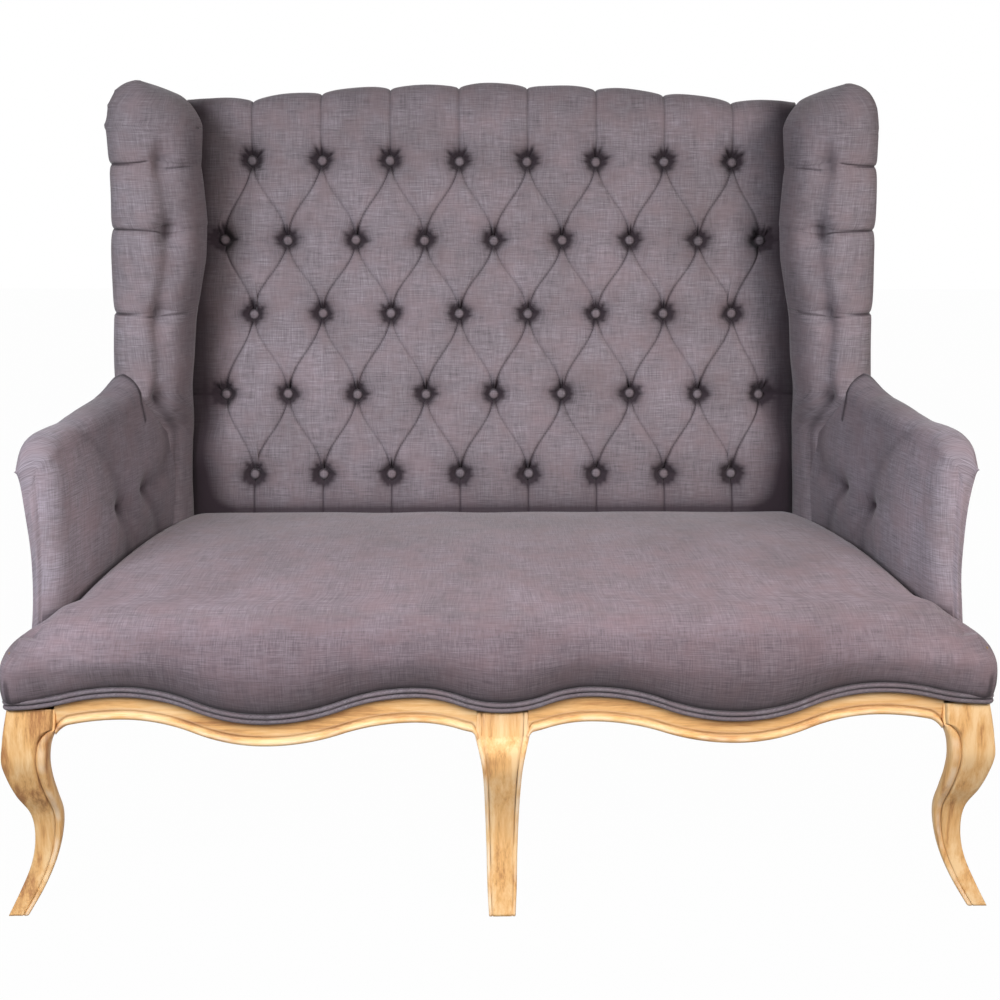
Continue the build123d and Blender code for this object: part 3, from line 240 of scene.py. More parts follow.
class Finish(Nodes):
    """One material being built, with its Principled shader's fixed values set at the start."""

    def __init__(self, name, **fixed):
        self.material = bpy.data.materials.new(name)
        self.material.use_nodes = True
        super().__init__(self.material.node_tree)
        self.shader = self.tree.nodes["Principled BSDF"]
        for key, value in fixed.items():
            self.shader.inputs[key.replace("_", " ")].default_value = value

    def feed(self, socket, value):
        self.give(self.shader.inputs[socket], value)

    def place(self, kind="Object"):
        """Coordinates on the surface, in metres."""
        return self.node("ShaderNodeTexCoord", out=kind)

    def attribute(self, name):
        return self.node("ShaderNodeAttribute", {"attribute_name": name}, out="Fac")

    def stretch(self, vector, scale):
        return self.node("ShaderNodeMapping", {}, {"Vector": vector, "Scale": scale})

    def noise(self, vector, scale, detail, roughness):
        return self.node("ShaderNodeTexNoise", {}, {"Vector": vector, "Scale": scale,
                         "Detail": detail, "Roughness": roughness})

    def ramp(self, value, *stops):
        return self.node("ShaderNodeValToRGB", {"stops": stops}, {"Fac": value})

    def mix(self, factor, a, b, blend="MIX"):
        """Colour between a and b."""
        a, b = (c if isinstance(c, Value) else rgba(c) for c in (a, b))
        return self.node("ShaderNodeMix", {"data_type": "RGBA", "blend_type": blend},
                         {0: factor, 6: a, 7: b}, out=2)

    def bump(self, height, strength, distance):
        return self.node("ShaderNodeBump", {}, {"Height": height, "Strength": strength,
                         "Distance": distance})


def dyed(colour, share=1, tone=(1, 1, 1)):
    """A colour times a share, and times a tone's three factors."""
    return tuple(c * share * t for c, t in zip(colour, tone))


LINEN = (0.222, 0.190, 0.208)
LINEN_PALE = (0.290, 0.258, 0.280)      # the raised threads
LINEN_ROSE = (0.245, 0.180, 0.188)      # blushes in the dye
LINEN_SHADE = (0.03, 0.02, 0.026)        # painted shade in shut folds, creases and dim faces
WOOD_GRIME = (0.34, 0.24, 0.13)
WOOD_WORN = (0.95, 0.74, 0.52)
WOOD_GRIME_AND_SHADE = (0.13, 0.05, 0.02)         # grime in the grooves, with painted shade there and painted shadow under the welt


def linen(name, threads, tone=(1, 1, 1)):
    """Slub linen: threads is "UV" on cloth cut along its grain, or "Object" on flat panels."""
    cloth = Finish(name, Roughness=0.92, Sheen_Weight=0.22, Sheen_Roughness=0.45,
                   Specular_IOR_Level=0.25)
    at = cloth.place(threads)
    weft, warp, slub, rib = [
        cloth.noise(cloth.stretch(at, scale), 1.0, detail, roughness)
        for scale, detail, roughness in (((32, 560, 32), 3.0, 0.65), ((520, 28, 520), 3.0, 0.65),
                                         ((8, 210, 8), 1.0, 0.5), ((170, 5, 170), 1.0, 0.5))]
    nap = cloth.noise(at, 900, 2.0, 0.7)
    cloud = cloth.noise(at, 6.5, 3.0, 0.55)
    blush = cloth.noise(at, 17, 3.0, 0.6)
    yarn = weft * 0.48 + warp * 0.34 + slub * 0.10 + rib * 0.08
    shade = cloth.ramp(yarn, (0.38, dyed(LINEN, 0.60, tone)), (0.5, dyed(LINEN, 1, tone)),
                       (0.62, dyed(LINEN_PALE, 1.08, tone)))
    shade = cloth.mix(cloth.ramp(blush, (0.42, 0), (0.66, 0.5)), shade, dyed(LINEN_ROSE, 1, tone))
    uneven = cloth.ramp(cloud, (0.3, 0.84), (0.7, (1.10, 1.09, 1.11)))
    shade = cloth.mix(1.0, shade, uneven, "MULTIPLY")
    # painted shade, read from the "fold" layer
    shade = cloth.mix(cloth.attribute("fold"), shade, LINEN_SHADE)
    cloth.feed("Base Color", shade)
    cloth.feed("Normal", cloth.bump(yarn + nap * 0.25, 0.6, 0.0012))
    cloth.feed("Roughness", cloth.ramp(yarn, (0.3, 0.97), (0.7, 0.86)))
    return cloth.material


def bare_wood(name, along, pale=(0.88, 0.60, 0.31), honey=(0.76, 0.43, 0.165),
              brown=(0.42, 0.19, 0.07), patina=0.5):
    """Oiled wood: along is how far the grain is drawn out in X, Y and Z."""
    wood = Finish(name, Roughness=0.55, Specular_IOR_Level=0.35)
    at = wood.place()
    sway, ring, fibre = [
        wood.noise(wood.stretch(at, tuple(fine / a for a in along)), scale, detail, roughness)
        for fine, scale, detail, roughness in ((1, 9, 2.0, 0.5), (14, 4.0, 4.0, 0.62),
                                               (46, 12.0, 3.0, 0.7))]
    soil = wood.noise(wood.stretch(at, tuple(3.2 / a ** 0.5 for a in along)), 3.2, 3.0, 0.6)
    grain = ring * 0.6 + sway * 0.25 + fibre * 0.15
    shade = wood.ramp(grain, (0.37, brown), (0.465, honey), (0.57, pale))
    shade = wood.mix(wood.ramp(soil, (0.55, 0), (0.72, patina)), shade, WOOD_GRIME)
    shade = wood.mix(wood.attribute("worn"), shade, WOOD_WORN)
    # grime and painted shade, read from the "fold" layer
    shade = wood.mix(wood.attribute("fold"), shade, WOOD_GRIME_AND_SHADE)
    wood.feed("Base Color", shade)
    wood.feed("Roughness", wood.ramp(fibre, (0.3, 0.62), (0.7, 0.46)))
    wood.feed("Normal", wood.bump(ring * 0.5 + fibre * 0.5, 0.25, 0.0008))
    return wood.material


def plain_weave(name, colour, pitch, roughness=0.9):
    """Coarse cloth that shows its threads: hessian, twine and dust cover."""
    cloth = Finish(name, Roughness=roughness)
    at = cloth.place()
    across, along = [
        cloth.node("ShaderNodeTexWave", {"wave_type": "BANDS", "bands_direction": way},
                   {"Vector": at, "Scale": 1 / pitch, "Distortion": 1.5, "Detail": 2.0})
        for way in "XY"]
    weave = across * 0.5 + along * 0.5
    cloth.feed("Base Color", cloth.ramp(weave, (0.1, dyed(colour, 0.6)), (0.8, colour)))
    cloth.feed("Normal", cloth.bump(weave, 0.4, 0.001))
    return cloth.material


def wire(name, colour, roughness):
    """Drawn or plated steel."""
    metal = Finish(name, Metallic=1.0)
    drawn = metal.noise(metal.place(), 300, 3.0, 0.6)
    metal.feed("Base Color", metal.ramp(drawn, (0.3, dyed(colour, 0.8)), (0.7, colour)))
    metal.feed("Roughness", metal.ramp(drawn, (0.3, roughness), (0.7, roughness + 0.2)))
    return metal.material


def foam(name, colour):
    """Open-celled padding."""
    pad = Finish(name, Roughness=0.95)
    cells = pad.node("ShaderNodeTexVoronoi", {}, {"Vector": pad.place(), "Scale": 900.0})
    pad.feed("Base Color", pad.ramp(cells, (0.0, dyed(colour, 0.75)), (0.5, colour)))
    pad.feed("Normal", pad.bump(cells, 0.3, 0.001))
    return pad.material


cut_linen = linen("cut_linen", "UV")
# a copy of the linen made lighter: painted light on the arms
lit_arm_linen = linen("lit_arm_linen", "UV", (1.22, 1.22, 1.25))
# a copy of the linen tinted warmer: painted warm light on the seat
warm_lit_seat_linen = linen("warm_lit_seat_linen", "UV", (1.04, 0.955, 0.97))
rail_wood = bare_wood("rail_wood", (12, 1, 1))
leg_wood = bare_wood("leg_wood", (1, 1, 12))
frame_wood = bare_wood("frame_wood", (12, 1, 1), (0.78, 0.6, 0.38), (0.68, 0.49, 0.28),
                       (0.5, 0.33, 0.17), 0.1)
hessian = plain_weave("hessian", (0.42, 0.28, 0.14), 0.01)
twine = plain_weave("waxed_twine", (0.6, 0.5, 0.36), 0.004)
dust_cloth = plain_weave("dust_cloth", (0.02, 0.02, 0.022), 0.006)
spring_wire = wire("spring_wire", (0.45, 0.45, 0.47), 0.3)
zinc = wire("zinc_plate", (0.72, 0.7, 0.66), 0.35)
padding = foam("padding", (0.84, 0.78, 0.6))

NODE_FINISH = {"side_rail": rail_wood, "rear_rail": rail_wood, "rear_post": leg_wood,
               "rear_leg": leg_wood, "seat_springs": spring_wire, "spring_clips": zinc,
               "corner_bolts": zinc, "seat_deck": hessian, "back_hessian": hessian,
               "button_twines": twine, "back_foam": padding}


def node_finish(name):
    """Material of a carried-over piece, by the first part of its name."""
    found = [finish for start, finish in NODE_FINISH.items() if name.startswith(start)]
    return found[0] if found else frame_wood


for name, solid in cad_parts.items():
    solid.data.materials.clear()
    solid.data.materials.append(node_finish(name))


# ---- cloth surfaces -------------------------------------------------------------------------
# Each soft piece is a grid of points. "push" moves them out along the cloth, in metres; "dark",
# from 0 to 1, is painted shade in the folds and creases, where light hardly gets in, and on dim
# faces.


def bend(*stops, count=12):
    """Points along circular arcs, each through three of the stops: start, middle, end."""
    stops = [np.array(stop, float) for stop in stops]
    out = [stops[0][None]]
    for a, m, b in zip(stops[::2], stops[1::2], stops[2::2]):
        ab, am = b - a, m - a
        cross = am[0] * ab[1] - am[1] * ab[0]
        if abs(cross) < 1e-9:
            t = np.linspace(0, 1, count + 1)[1:, None]
            out.append(a + ab * t)
            continue
        lift = np.array((ab[1] * am.dot(am) - am[1] * ab.dot(ab),
                         am[0] * ab.dot(ab) - ab[0] * am.dot(am))) / (2 * cross)
        centre = a + lift
        start = np.arctan2(*(a - centre)[::-1])
        turn = (np.arctan2(*(b - centre)[::-1]) - start) % (2 * pi)
        mid = (np.arctan2(*(m - centre)[::-1]) - start) % (2 * pi)
        if mid > turn:
            turn -= 2 * pi
        angle = start + turn * np.linspace(0, 1, count + 1)[1:]
        radius = np.hypot(*(a - centre))
        out.append(centre + radius * np.stack((np.cos(angle), np.sin(angle)), -1))
    return np.concatenate(out)


def one_line(runs):
    """Runs that each start where the last one ends, as one line of points."""
    return np.concatenate([runs[0]] + [run[1:] for run in runs[1:]])


def even(line, count):
    """The same line with its points evenly spaced."""
    step = np.r_[0, np.cumsum(np.linalg.norm(np.diff(line, axis=0), axis=1))]
    at = np.linspace(0, step[-1], count)
    return np.stack([np.interp(at, step, line[:, k]) for k in range(line.shape[1])], -1)


def outward(points):
    """Unit normals of a grid of points."""
    along = np.gradient(points, axis=1)
    across = np.gradient(points, axis=0)
    normal = np.cross(along, across)
    return normal / np.maximum(np.linalg.norm(normal, axis=-1, keepdims=True), 1e-9)


def from_line(points, line):
    """Distance of each point to a line of straight runs."""
    best = np.full(points.shape[:-1], FAR)
    line = np.array(line, float)
    for a, b in zip(line, line[1:]):
        run = b - a
        t = part((points - a) @ run, max(run @ run, 1e-12))
        best = np.minimum(best, np.linalg.norm(points - a - t[..., None] * run, axis=-1))
    return best


def pucker(points, seed, size, draw=(1, 1, 1)):
    """Soft unevenness between -1 and 1, in waves of about that size, longer where drawn out."""
    rng = np.random.default_rng(seed)
    total = 0
    for _ in range(7):
        way = rng.normal(size=3)
        way = way / np.linalg.norm(way) * 2 * pi / size / rng.uniform(0.7, 1.5)
        total = total + np.sin(points @ (way / np.array(draw)) + rng.uniform(0, 6.3))
    return total / 4


def write_layer(mesh, name, amount):
    """Writes an amount between 0 and 1 at each point, for the material to read."""
    layer = mesh.attributes.new(name, "FLOAT", "POINT")
    layer.data.foreach_set("value", np.clip(amount, 0, 1).ravel().astype(np.float32))


def cloth_mesh(name, points, weave, fold=None, close=False, diagonal=None):
    """A piece from a grid of points, with its threads' coordinates and the painted shade of its
    folds.
    """
    rows, cols = points.shape[:2]
    index = np.arange(rows * cols).reshape(rows, cols)
    if close:
        index = np.concatenate((index, index[:, :1]), axis=1)
    a, b, c, d = index[:-1, :-1], index[:-1, 1:], index[1:, 1:], index[1:, :-1]
    if diagonal is None:
        faces = np.stack((a, b, c, d), -1).reshape(-1, 4)
    else:
        one = np.where(diagonal[..., None], np.stack((a, b, c), -1), np.stack((a, b, d), -1))
        two = np.where(diagonal[..., None], np.stack((a, c, d), -1), np.stack((b, c, d), -1))
        faces = np.concatenate((one.reshape(-1, 3), two.reshape(-1, 3)))
    mesh = bpy.data.meshes.new(name)
    mesh.from_pydata(points.reshape(-1, 3).tolist(), [], faces.tolist())
    mesh.validate()
    layer = mesh.uv_layers.new(name="weave")
    corner = np.zeros(len(mesh.loops), np.int32)
    mesh.loops.foreach_get("vertex_index", corner)
    layer.data.foreach_set("uv", weave.reshape(-1, 2)[corner].ravel())
    write_layer(mesh, "fold", np.zeros(points.shape[:2]) if fold is None else fold)
    mesh.polygons.foreach_set("use_smooth", np.ones(len(mesh.polygons), bool))
    piece = bpy.data.objects.new(name, mesh)
    bpy.context.scene.collection.objects.link(piece)
    return piece


def joined(name, pieces):
    """Several meshes as one piece."""
    with bpy.context.temp_override(active_object=pieces[0], selected_editable_objects=pieces):
        bpy.ops.object.join()
    pieces[0].name = name
    return pieces[0]


def hand_name(side):
    return "right" if side > 0 else "left"


def turned(side, axis, *grids):
    """Grids of a right-hand piece, run backwards for the left, so that their faces look out."""
    return [np.flip(grid, axis) if side < 0 else grid for grid in grids]


def fitted(piece, finish, slot, *nodes, fill=None):
    """Gives a piece its material, sets it under the root and hides the solids that it stands for.
    """
    piece.data.materials.append(finish)
    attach(piece, "root")
    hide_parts(*nodes)


def arc_length(points, axis):
    """Distance run along each row or column of a grid, from its first point."""
    step = np.linalg.norm(np.diff(points, axis=axis), axis=-1)
    first = np.zeros_like(np.take(step, [0], axis=axis))
    return np.concatenate((first, np.cumsum(step, axis=axis)), axis=axis)


# ---- the tufted back ------------------------------------------------------------------------
TUFT_CELLS = 34         # grid cells in half a button's pitch
CREST_CELLS = 96        # and from the top row of buttons over the crest
PLEAT_DEEP = 0.0085     # valley of a pleat below its tufts
PLEAT_SOFT = 0.011      # and how soon it rises beside it
PLEAT_CRISP = 0.0020    # the sharp fold at its bottom
PLEAT_BOW = 0.0065      # how far a pleat swings out on its way between two buttons
DIMPLE_DEEP = 0.0205
DIMPLE_WIDE = 0.0195
RAY_COUNTS = (5, 9, 13)         # small creases around a button, drawn over each other
CREST_ROLL = 0.038      # rounding of the crest
BACK_LOW = 0.418        # height where the cloth goes down behind the seat
EDGE_LAP = 0.004        # how far it goes in behind the wings


def crest_v(u):
    """Distance up the slope of the crest: lower towards the wings, and scalloped by the pleats."""
    out = np.abs(np.asarray(u, float))
    level = slope_v(BACK_TOP, PEAK_OUT) - CREST_SAG / cos(RAKE) * (out / CREST_AT) ** 2
    last = 3.5 * BUTTON_PITCH
    level = level + 0.8 * CREST_SAG * np.maximum(out ** 2 - last ** 2, 0) / CREST_AT ** 2
    off = np.abs((out / BUTTON_PITCH) % 1 - 0.5) * 2
    scallop = 0.0030 - 0.0050 * (1 - np.where(out < last + BUTTON_PITCH / 2, off, 1)) ** 2
    return level + scallop


def button_places():
    """(u, v) of every button on the back's plane: eight in the odd rows, nine in the even."""
    places = []
    edge = 3 * BUTTON_PITCH + EDGE_PITCH
    for row, z in enumerate(BUTTON_ROWS):
        if row % 2 == 0:
            across = [(k - 3.5) * BUTTON_PITCH for k in range(8)]
        else:
            across = [-edge] + [(k - 3) * BUTTON_PITCH for k in range(7)] + [edge]
        places.append([(u, slope_v(z)) for u in across])
    return places


def near_pleats(flat, rows, low):
    """Distance of the flat cloth to the nearest pleat, and to the nearest that runs down left."""
    near = np.full(flat.shape[:-1], FAR)
    near_left = near.copy()
    for upper, lower in zip(rows, rows[1:]):
        for bu, bv in upper:
            for lu, lv in lower:
                if abs(lu - bu) < BUTTON_PITCH * 0.75:
                    pleat = from_line(flat, [(bu, bv, 0), (lu, lv, 0)])
                    near = np.minimum(near, pleat)
                    if lu < bu:
                        near_left = np.minimum(near_left, pleat)
    # straight pleats: over the crest, down behind the seat, and out to the wings
    ends = [((u, v), (u, v + 0.4)) for u, v in rows[0]]
    ends += [((u, v), (u, low - 0.1)) for u, v in rows[-1]]
    ends += [((u, v), (np.sign(u) * (BACK_HALF + 0.1), v + 0.002))
             for row in (rows[1], rows[3]) for u, v in (row[0], row[-1])]
    for start, end in ends:
        near = np.minimum(near, from_line(flat, [(*start, 0), (*end, 0)]))
    return near, near_left


def near_buttons(u, run, rows):
    """Distance of the cloth to the nearest button, and the small rays drawn in around it."""
    rng = np.random.default_rng(4)
    near = np.full(u.shape, FAR)
    star = np.zeros(u.shape)
    for bu, bv in (button for row in rows for button in row):
        away = np.hypot(u - bu, run - bv)
        near = np.minimum(near, away)
        angle = np.arctan2(run - bv, u - bu)
        phases = [rng.uniform(0, 6.3) for _ in RAY_COUNTS]
        here = away < 0.06
        rays = sum(np.cos(count * angle[here] + phase) for count, phase in zip(RAY_COUNTS, phases))
        fade = bell(away - 0.017, 0.010) * (0.75 + 0.35 * np.sin(angle))
        star[here] += rays * fade[here]
    return near, star


def pleat_bow(u, run, rows):
    """Sideways swing of the cloth: a pleat leaves and meets its buttons nearly upright."""
    swing = np.zeros(u.shape)
    for upper, lower in zip(rows, rows[1:]):
        drop = (upper[0][1] - run) / (upper[0][1] - lower[0][1])
        places = np.array([place for place, _ in upper])
        side = u - places[np.argmin(np.abs(u[..., None] - places), axis=-1)]
        off = np.abs(side)
        fold = np.maximum(drop, 1e-3) * BUTTON_PITCH / 2
        share = np.where(off < fold, off / fold, (BUTTON_PITCH / 2 - off)
                         / np.maximum(BUTTON_PITCH / 2 - fold, 1e-4))
        bow = -PLEAT_BOW * np.sin(2 * pi * drop) * np.clip(share, 0, 1) * np.sign(side)
        swing += np.where((drop > 0) & (drop < 1) & (off < BUTTON_PITCH / 2), bow, 0)
    return swing


def tufted_back():
    """Diamond tufting: the grid's diagonals follow the pleats, so that each fold is crisp."""
    rows = button_places()
    heights = [row[0][1] for row in rows]
    # columns, counted in button pitches from the middle
    step = 1 / (2 * TUFT_CELLS)
    last = 4.0 + round((BACK_HALF + 0.006 - rows[1][-1][0]) / BUTTON_PITCH / step) * step
    a = np.arange(-last, last + step / 2, step)
    u = np.interp(a, [-last, -4, -3.5, 3.5, 4, last],
                  [-BACK_HALF - EDGE_LAP, rows[1][0][0], rows[0][0][0], rows[0][-1][0],
                   rows[1][-1][0], BACK_HALF + EDGE_LAP])
    gap = (heights[0] - heights[1]) / TUFT_CELLS
    low = slope_v(BACK_LOW)
    v = [np.arange(heights[-1], low, -gap)[:0:-1]]
    for below, above in zip(heights[:0:-1], heights[-2::-1]):
        v.append(np.linspace(below, above, TUFT_CELLS + 1)[:-1])
    v = np.concatenate(v)
    U, V = np.meshgrid(u, v)
    # above the first row of buttons: up the face, round the crest and back along the top
    roll = CREST_ROLL
    face = crest_v(u) - roll - heights[0]
    back = PEAK_OUT - roll - FRAME_REAR - COVER_T - 0.002
    length = face + roll * pi / 2 + back
    s = np.linspace(0, 1, CREST_CELLS)[:, None] * length[None]
    turn = np.clip((s - face) / roll, 0, pi / 2)
    on_top = np.maximum(s - face - roll * pi / 2, 0)
    top_v = heights[0] + np.minimum(s, face) + roll * np.sin(turn)
    top_v -= on_top * 0.06
    top_n = roll * (np.cos(turn) - 1) - on_top
    UU = np.concatenate((U, np.broadcast_to(u, s.shape)))
    VV = np.concatenate((V, top_v))
    NN = np.concatenate((np.zeros_like(U), top_n))
    # cloth lies in plain distance up the back, which the threads and the pleats follow
    run = np.concatenate((V, heights[0] + s))
    flat = np.stack((UU, run, np.zeros_like(UU)), -1)
    near_pleat, near_left = near_pleats(flat, rows, low)
    near_button, star = near_buttons(UU, run, rows)
    # a pleat is a soft valley with a sharp fold at its bottom, flatter half way between buttons
    ease = part(near_button, 0.06)
    deep = PLEAT_DEEP * (1 - 0.35 * ease)
    n = -deep * (0.50 * decay(near_pleat, PLEAT_SOFT) + 0.40 * decay(near_pleat, PLEAT_CRISP))
    n -= DIMPLE_DEEP * bell(near_button, DIMPLE_WIDE)
    n += 0.0016 * star
    n += 0.0011 * pucker(flat, 11, 0.09)
    # rolled in at the wings and down behind the seat
    sides = part(BACK_HALF + EDGE_LAP - np.abs(UU), 0.032)
    turn = np.concatenate((np.zeros_like(U), turn))
    n -= 0.02 * (1 - np.sqrt(1 - (1 - sides) ** 2)) * np.cos(turn)
    n -= 0.012 * part(0.05 - (run - low), 0.05) ** 2
    points = on_back(UU + pleat_bow(UU, run, rows), VV, NN + PEAK_OUT)
    points = points + n[..., None] * (np.cos(turn)[..., None] * BACK_N
                                      + np.sin(turn)[..., None] * BACK_V)
    # painted shade in the pleats and around the buttons
    dark = 0.62 * bell(near_pleat, 0.0014) * (0.65 + 0.35 * (1 - ease))
    dark += 0.35 * bell(near_left, 0.0020)
    dark += 0.95 * bell(near_button, 0.0200, 4)
    dark += 0.34 * np.clip(-star, 0, 2) + 0.42 * bell(near_button, 0.034)
    # and painted shade beside the wings, at the seat, low down and under the crest
    dark += 0.85 * part(np.abs(UU) - 0.468, 0.062) ** 1.5 * np.cos(turn)
    dark += 0.7 * decay(np.maximum(run - slope_v(0.470), 0), 0.016)
    dark += 0.20 * part(slope_v(0.66) - run, 0.16)
    dark += 0.16 * part(run - slope_v(1.165), 0.04)
    # each cell is split along the diagonal that a pleat follows
    band = (np.arange(len(points) - 1) - (len(v) - 4 * TUFT_CELLS)) // TUFT_CELLS
    half = np.floor((a[:-1] + step / 2) * 2).astype(int)
    rising = (band[:, None] + half[None]) % 2 == 0
    piece = cloth_mesh("tufted_back", points, np.stack((UU, run), -1), dark, diagonal=rising)
    fitted(piece, cut_linen, "linen", "inside_back_cover", fill=0.7)


def tufting_buttons():
    """Covered buttons in their dimples, each pulled a little out of true."""
    rng = np.random.default_rng(21)
    half = BUTTON_D / 2
    rings = bend((half - 0.0012, -0.001), (half, 0.0022), (half - 0.001, 0.004),
                 (BUTTON_D / 3.1, BUTTON_H - 0.0016), (0.0004, BUTTON_H), count=7)
    around = np.linspace(0, 2 * pi, 29)[:-1]
    cap = np.stack((rings[:, :1] * np.cos(around), rings[:, :1] * np.sin(around),
                    np.broadcast_to(rings[:, 1:], (len(rings), len(around)))), -1)
    # painted shade: darker all over and most at the rims, sunk in their dimples
    rim = 0.30 + 0.65 * part(rings[:, :1] / half - 0.52, 0.3) ** 1.5
    rim = np.broadcast_to(rim, cap.shape[:2])
    pieces = []
    for u, v in (button for row in button_places() for button in row):
        lean = rng.uniform(-0.16, 0.16, 2)
        spin = rng.uniform(0, 6.3)
        x = cap[..., 0] * cos(spin) - cap[..., 1] * sin(spin)
        y = cap[..., 0] * sin(spin) + cap[..., 1] * cos(spin)
        h = cap[..., 2] + BUTTON_SEAT + x * lean[0] + y * lean[1] + 0.001
        du, dv = rng.uniform(-0.0012, 0.0012, 2)
        grid = on_back(u + du + x, v + dv + y, h)
        weave = np.stack((x + u, y + v), -1)
        pieces.append(cloth_mesh("button", grid, weave, rim, close=True))
    fitted(joined("tufting_buttons", pieces), cut_linen, "button_cloth", "back_buttons")


# ---- wings ----------------------------------------------------------------------------------
WING_CUTS = (16, 14, 34, 44, 40)    # points along: outer face, brow, front, roll, inner face
WING_TUFTS = ((0.690, 0.012), (0.837, 0.014), (0.979, 0.020), (1.094, 0.010))   # height, depth
WING_DOME = 1.150       # height where the top starts to round over
RIDGE = 0.609           # the top's ridge, from the middle of the settee
WING_END = 0.455        # the inner roll runs down beside the arm to the seat
WING_BEND = 0.096       # from the front to the middle of the inner roll
PLEAT_RISE = (-0.006, -0.0035, 0.010)   # from a pleat's outer end to its tuft
PLEAT_REACH = (0.97, 0.97, 0.72)        # how far it runs towards the tuft
PAST_TUFT = (0.8, 0.15, 0.8)            # how strongly it goes on round the roll
# gathers that stand out at the dome's outer edge: height, size, width
NICKS = ((1.153, 0.0065, 0.007), (1.187, 0.003, 0.006), (1.212, 0.003, 0.005))


def wing_front(z):
    return WING_FRONT + (z - WING_FOOT) * WING_TAN


def wing_height(z, y):
    """Height of the wing's row z at depth y: its top falls towards the rear."""
    along = part(y - wing_front(z) - 0.06, 0.27)
    fall = (WING_REAR_TOP - WING_TOP) * along + 0.016 * along * (1 - along)
    high = np.maximum(0, z - WING_PLEATS[-1]) / (WING_TOP - WING_PLEATS[-1])
    return z + fall * high ** 1.5


def wing_outline(z, inner, outer, front, deep):
    """Outline of the right wing at height z, from its rear edge round the front to the crease."""
    wide = outer - inner
    side = (outer, front + 0.04)
    brow = (outer - wide * 0.26, front)
    tuft = (inner + wide * 0.34, front + 0.016)
    bulge = (inner, front + deep)
    crease = (max(BACK_HALF + 0.003, inner + 0.0004), max(back_y(z, 0.002), bulge[1] + 0.012))
    rear = (outer, back_y(z, FRAME_REAR))
    corners = (rear, side, brow, tuft, bulge, crease)
    middles = (((rear[0] + side[0]) / 2, (rear[1] + side[1]) / 2),
               (outer - wide * 0.07, front + 0.010), (outer - wide * 0.46, front + 0.001),
               (inner + wide * 0.125, front + 0.016 + (deep - 0.016) * 0.42),
               ((inner + crease[0]) / 2 - 0.004, (bulge[1] + crease[1]) / 2 + 0.010))
    return one_line([bend(start, middle, end, count=count) for start, middle, end, count
                     in zip(corners, middles, corners[1:], WING_CUTS)])


def wing_rows():
    """(height, inner, outer, front, depth of roll) of each row: a foot beside the arm, padded
    bays and a domed top."""
    rows = []
    for z in np.linspace(WING_END, WING_PLEATS[0], 100)[:-1]:
        fade = min(1, max(0, (0.705 - z) / 0.09))
        fade = fade ** 2 * (3 - 2 * fade)
        front = wing_front(z) * (1 - fade) + (back_y(z, PEAK_OUT) - 0.085) * fade
        rows.append((z, np.interp(z, *WING_INNER), WING_HALF - 0.006 * fade, front,
                     WING_BEND - 0.041 * fade))
    t = np.sin(np.linspace(-1, 1, 54) * pi / 2)[:-1]
    for low, high in zip(WING_PLEATS, WING_PLEATS[1:] + (WING_DOME,)):
        for z, nip in zip(low + (t + 1) / 2 * (high - low), 0.0022 * t ** 6 - 0.0008):
            nip = min(nip, 0) if z > 1.12 else nip
            rows.append((z, np.interp(z, *WING_INNER) + nip * 0.6, WING_HALF - nip,
                         wing_front(z) + nip, WING_BEND))
    for high in np.sin(np.linspace(0, pi / 2, 64)) ** 0.75:
        z = WING_DOME + (WING_TOP - WING_DOME) * high
        outer = WING_HALF - (WING_HALF - RIDGE) * (1 - (1 - high ** 2.3) ** (1 / 2.3))
        low = np.interp(z, *WING_INNER)
        inner = low + (RIDGE - 0.0005 - low) * (1 - (1 - high ** 1.7) ** (1 / 1.7))
        rows.append((z, inner, outer, wing_front(z) + 0.046 * (1 - (1 - high ** 2) ** 0.5),
                     WING_BEND))
    return rows


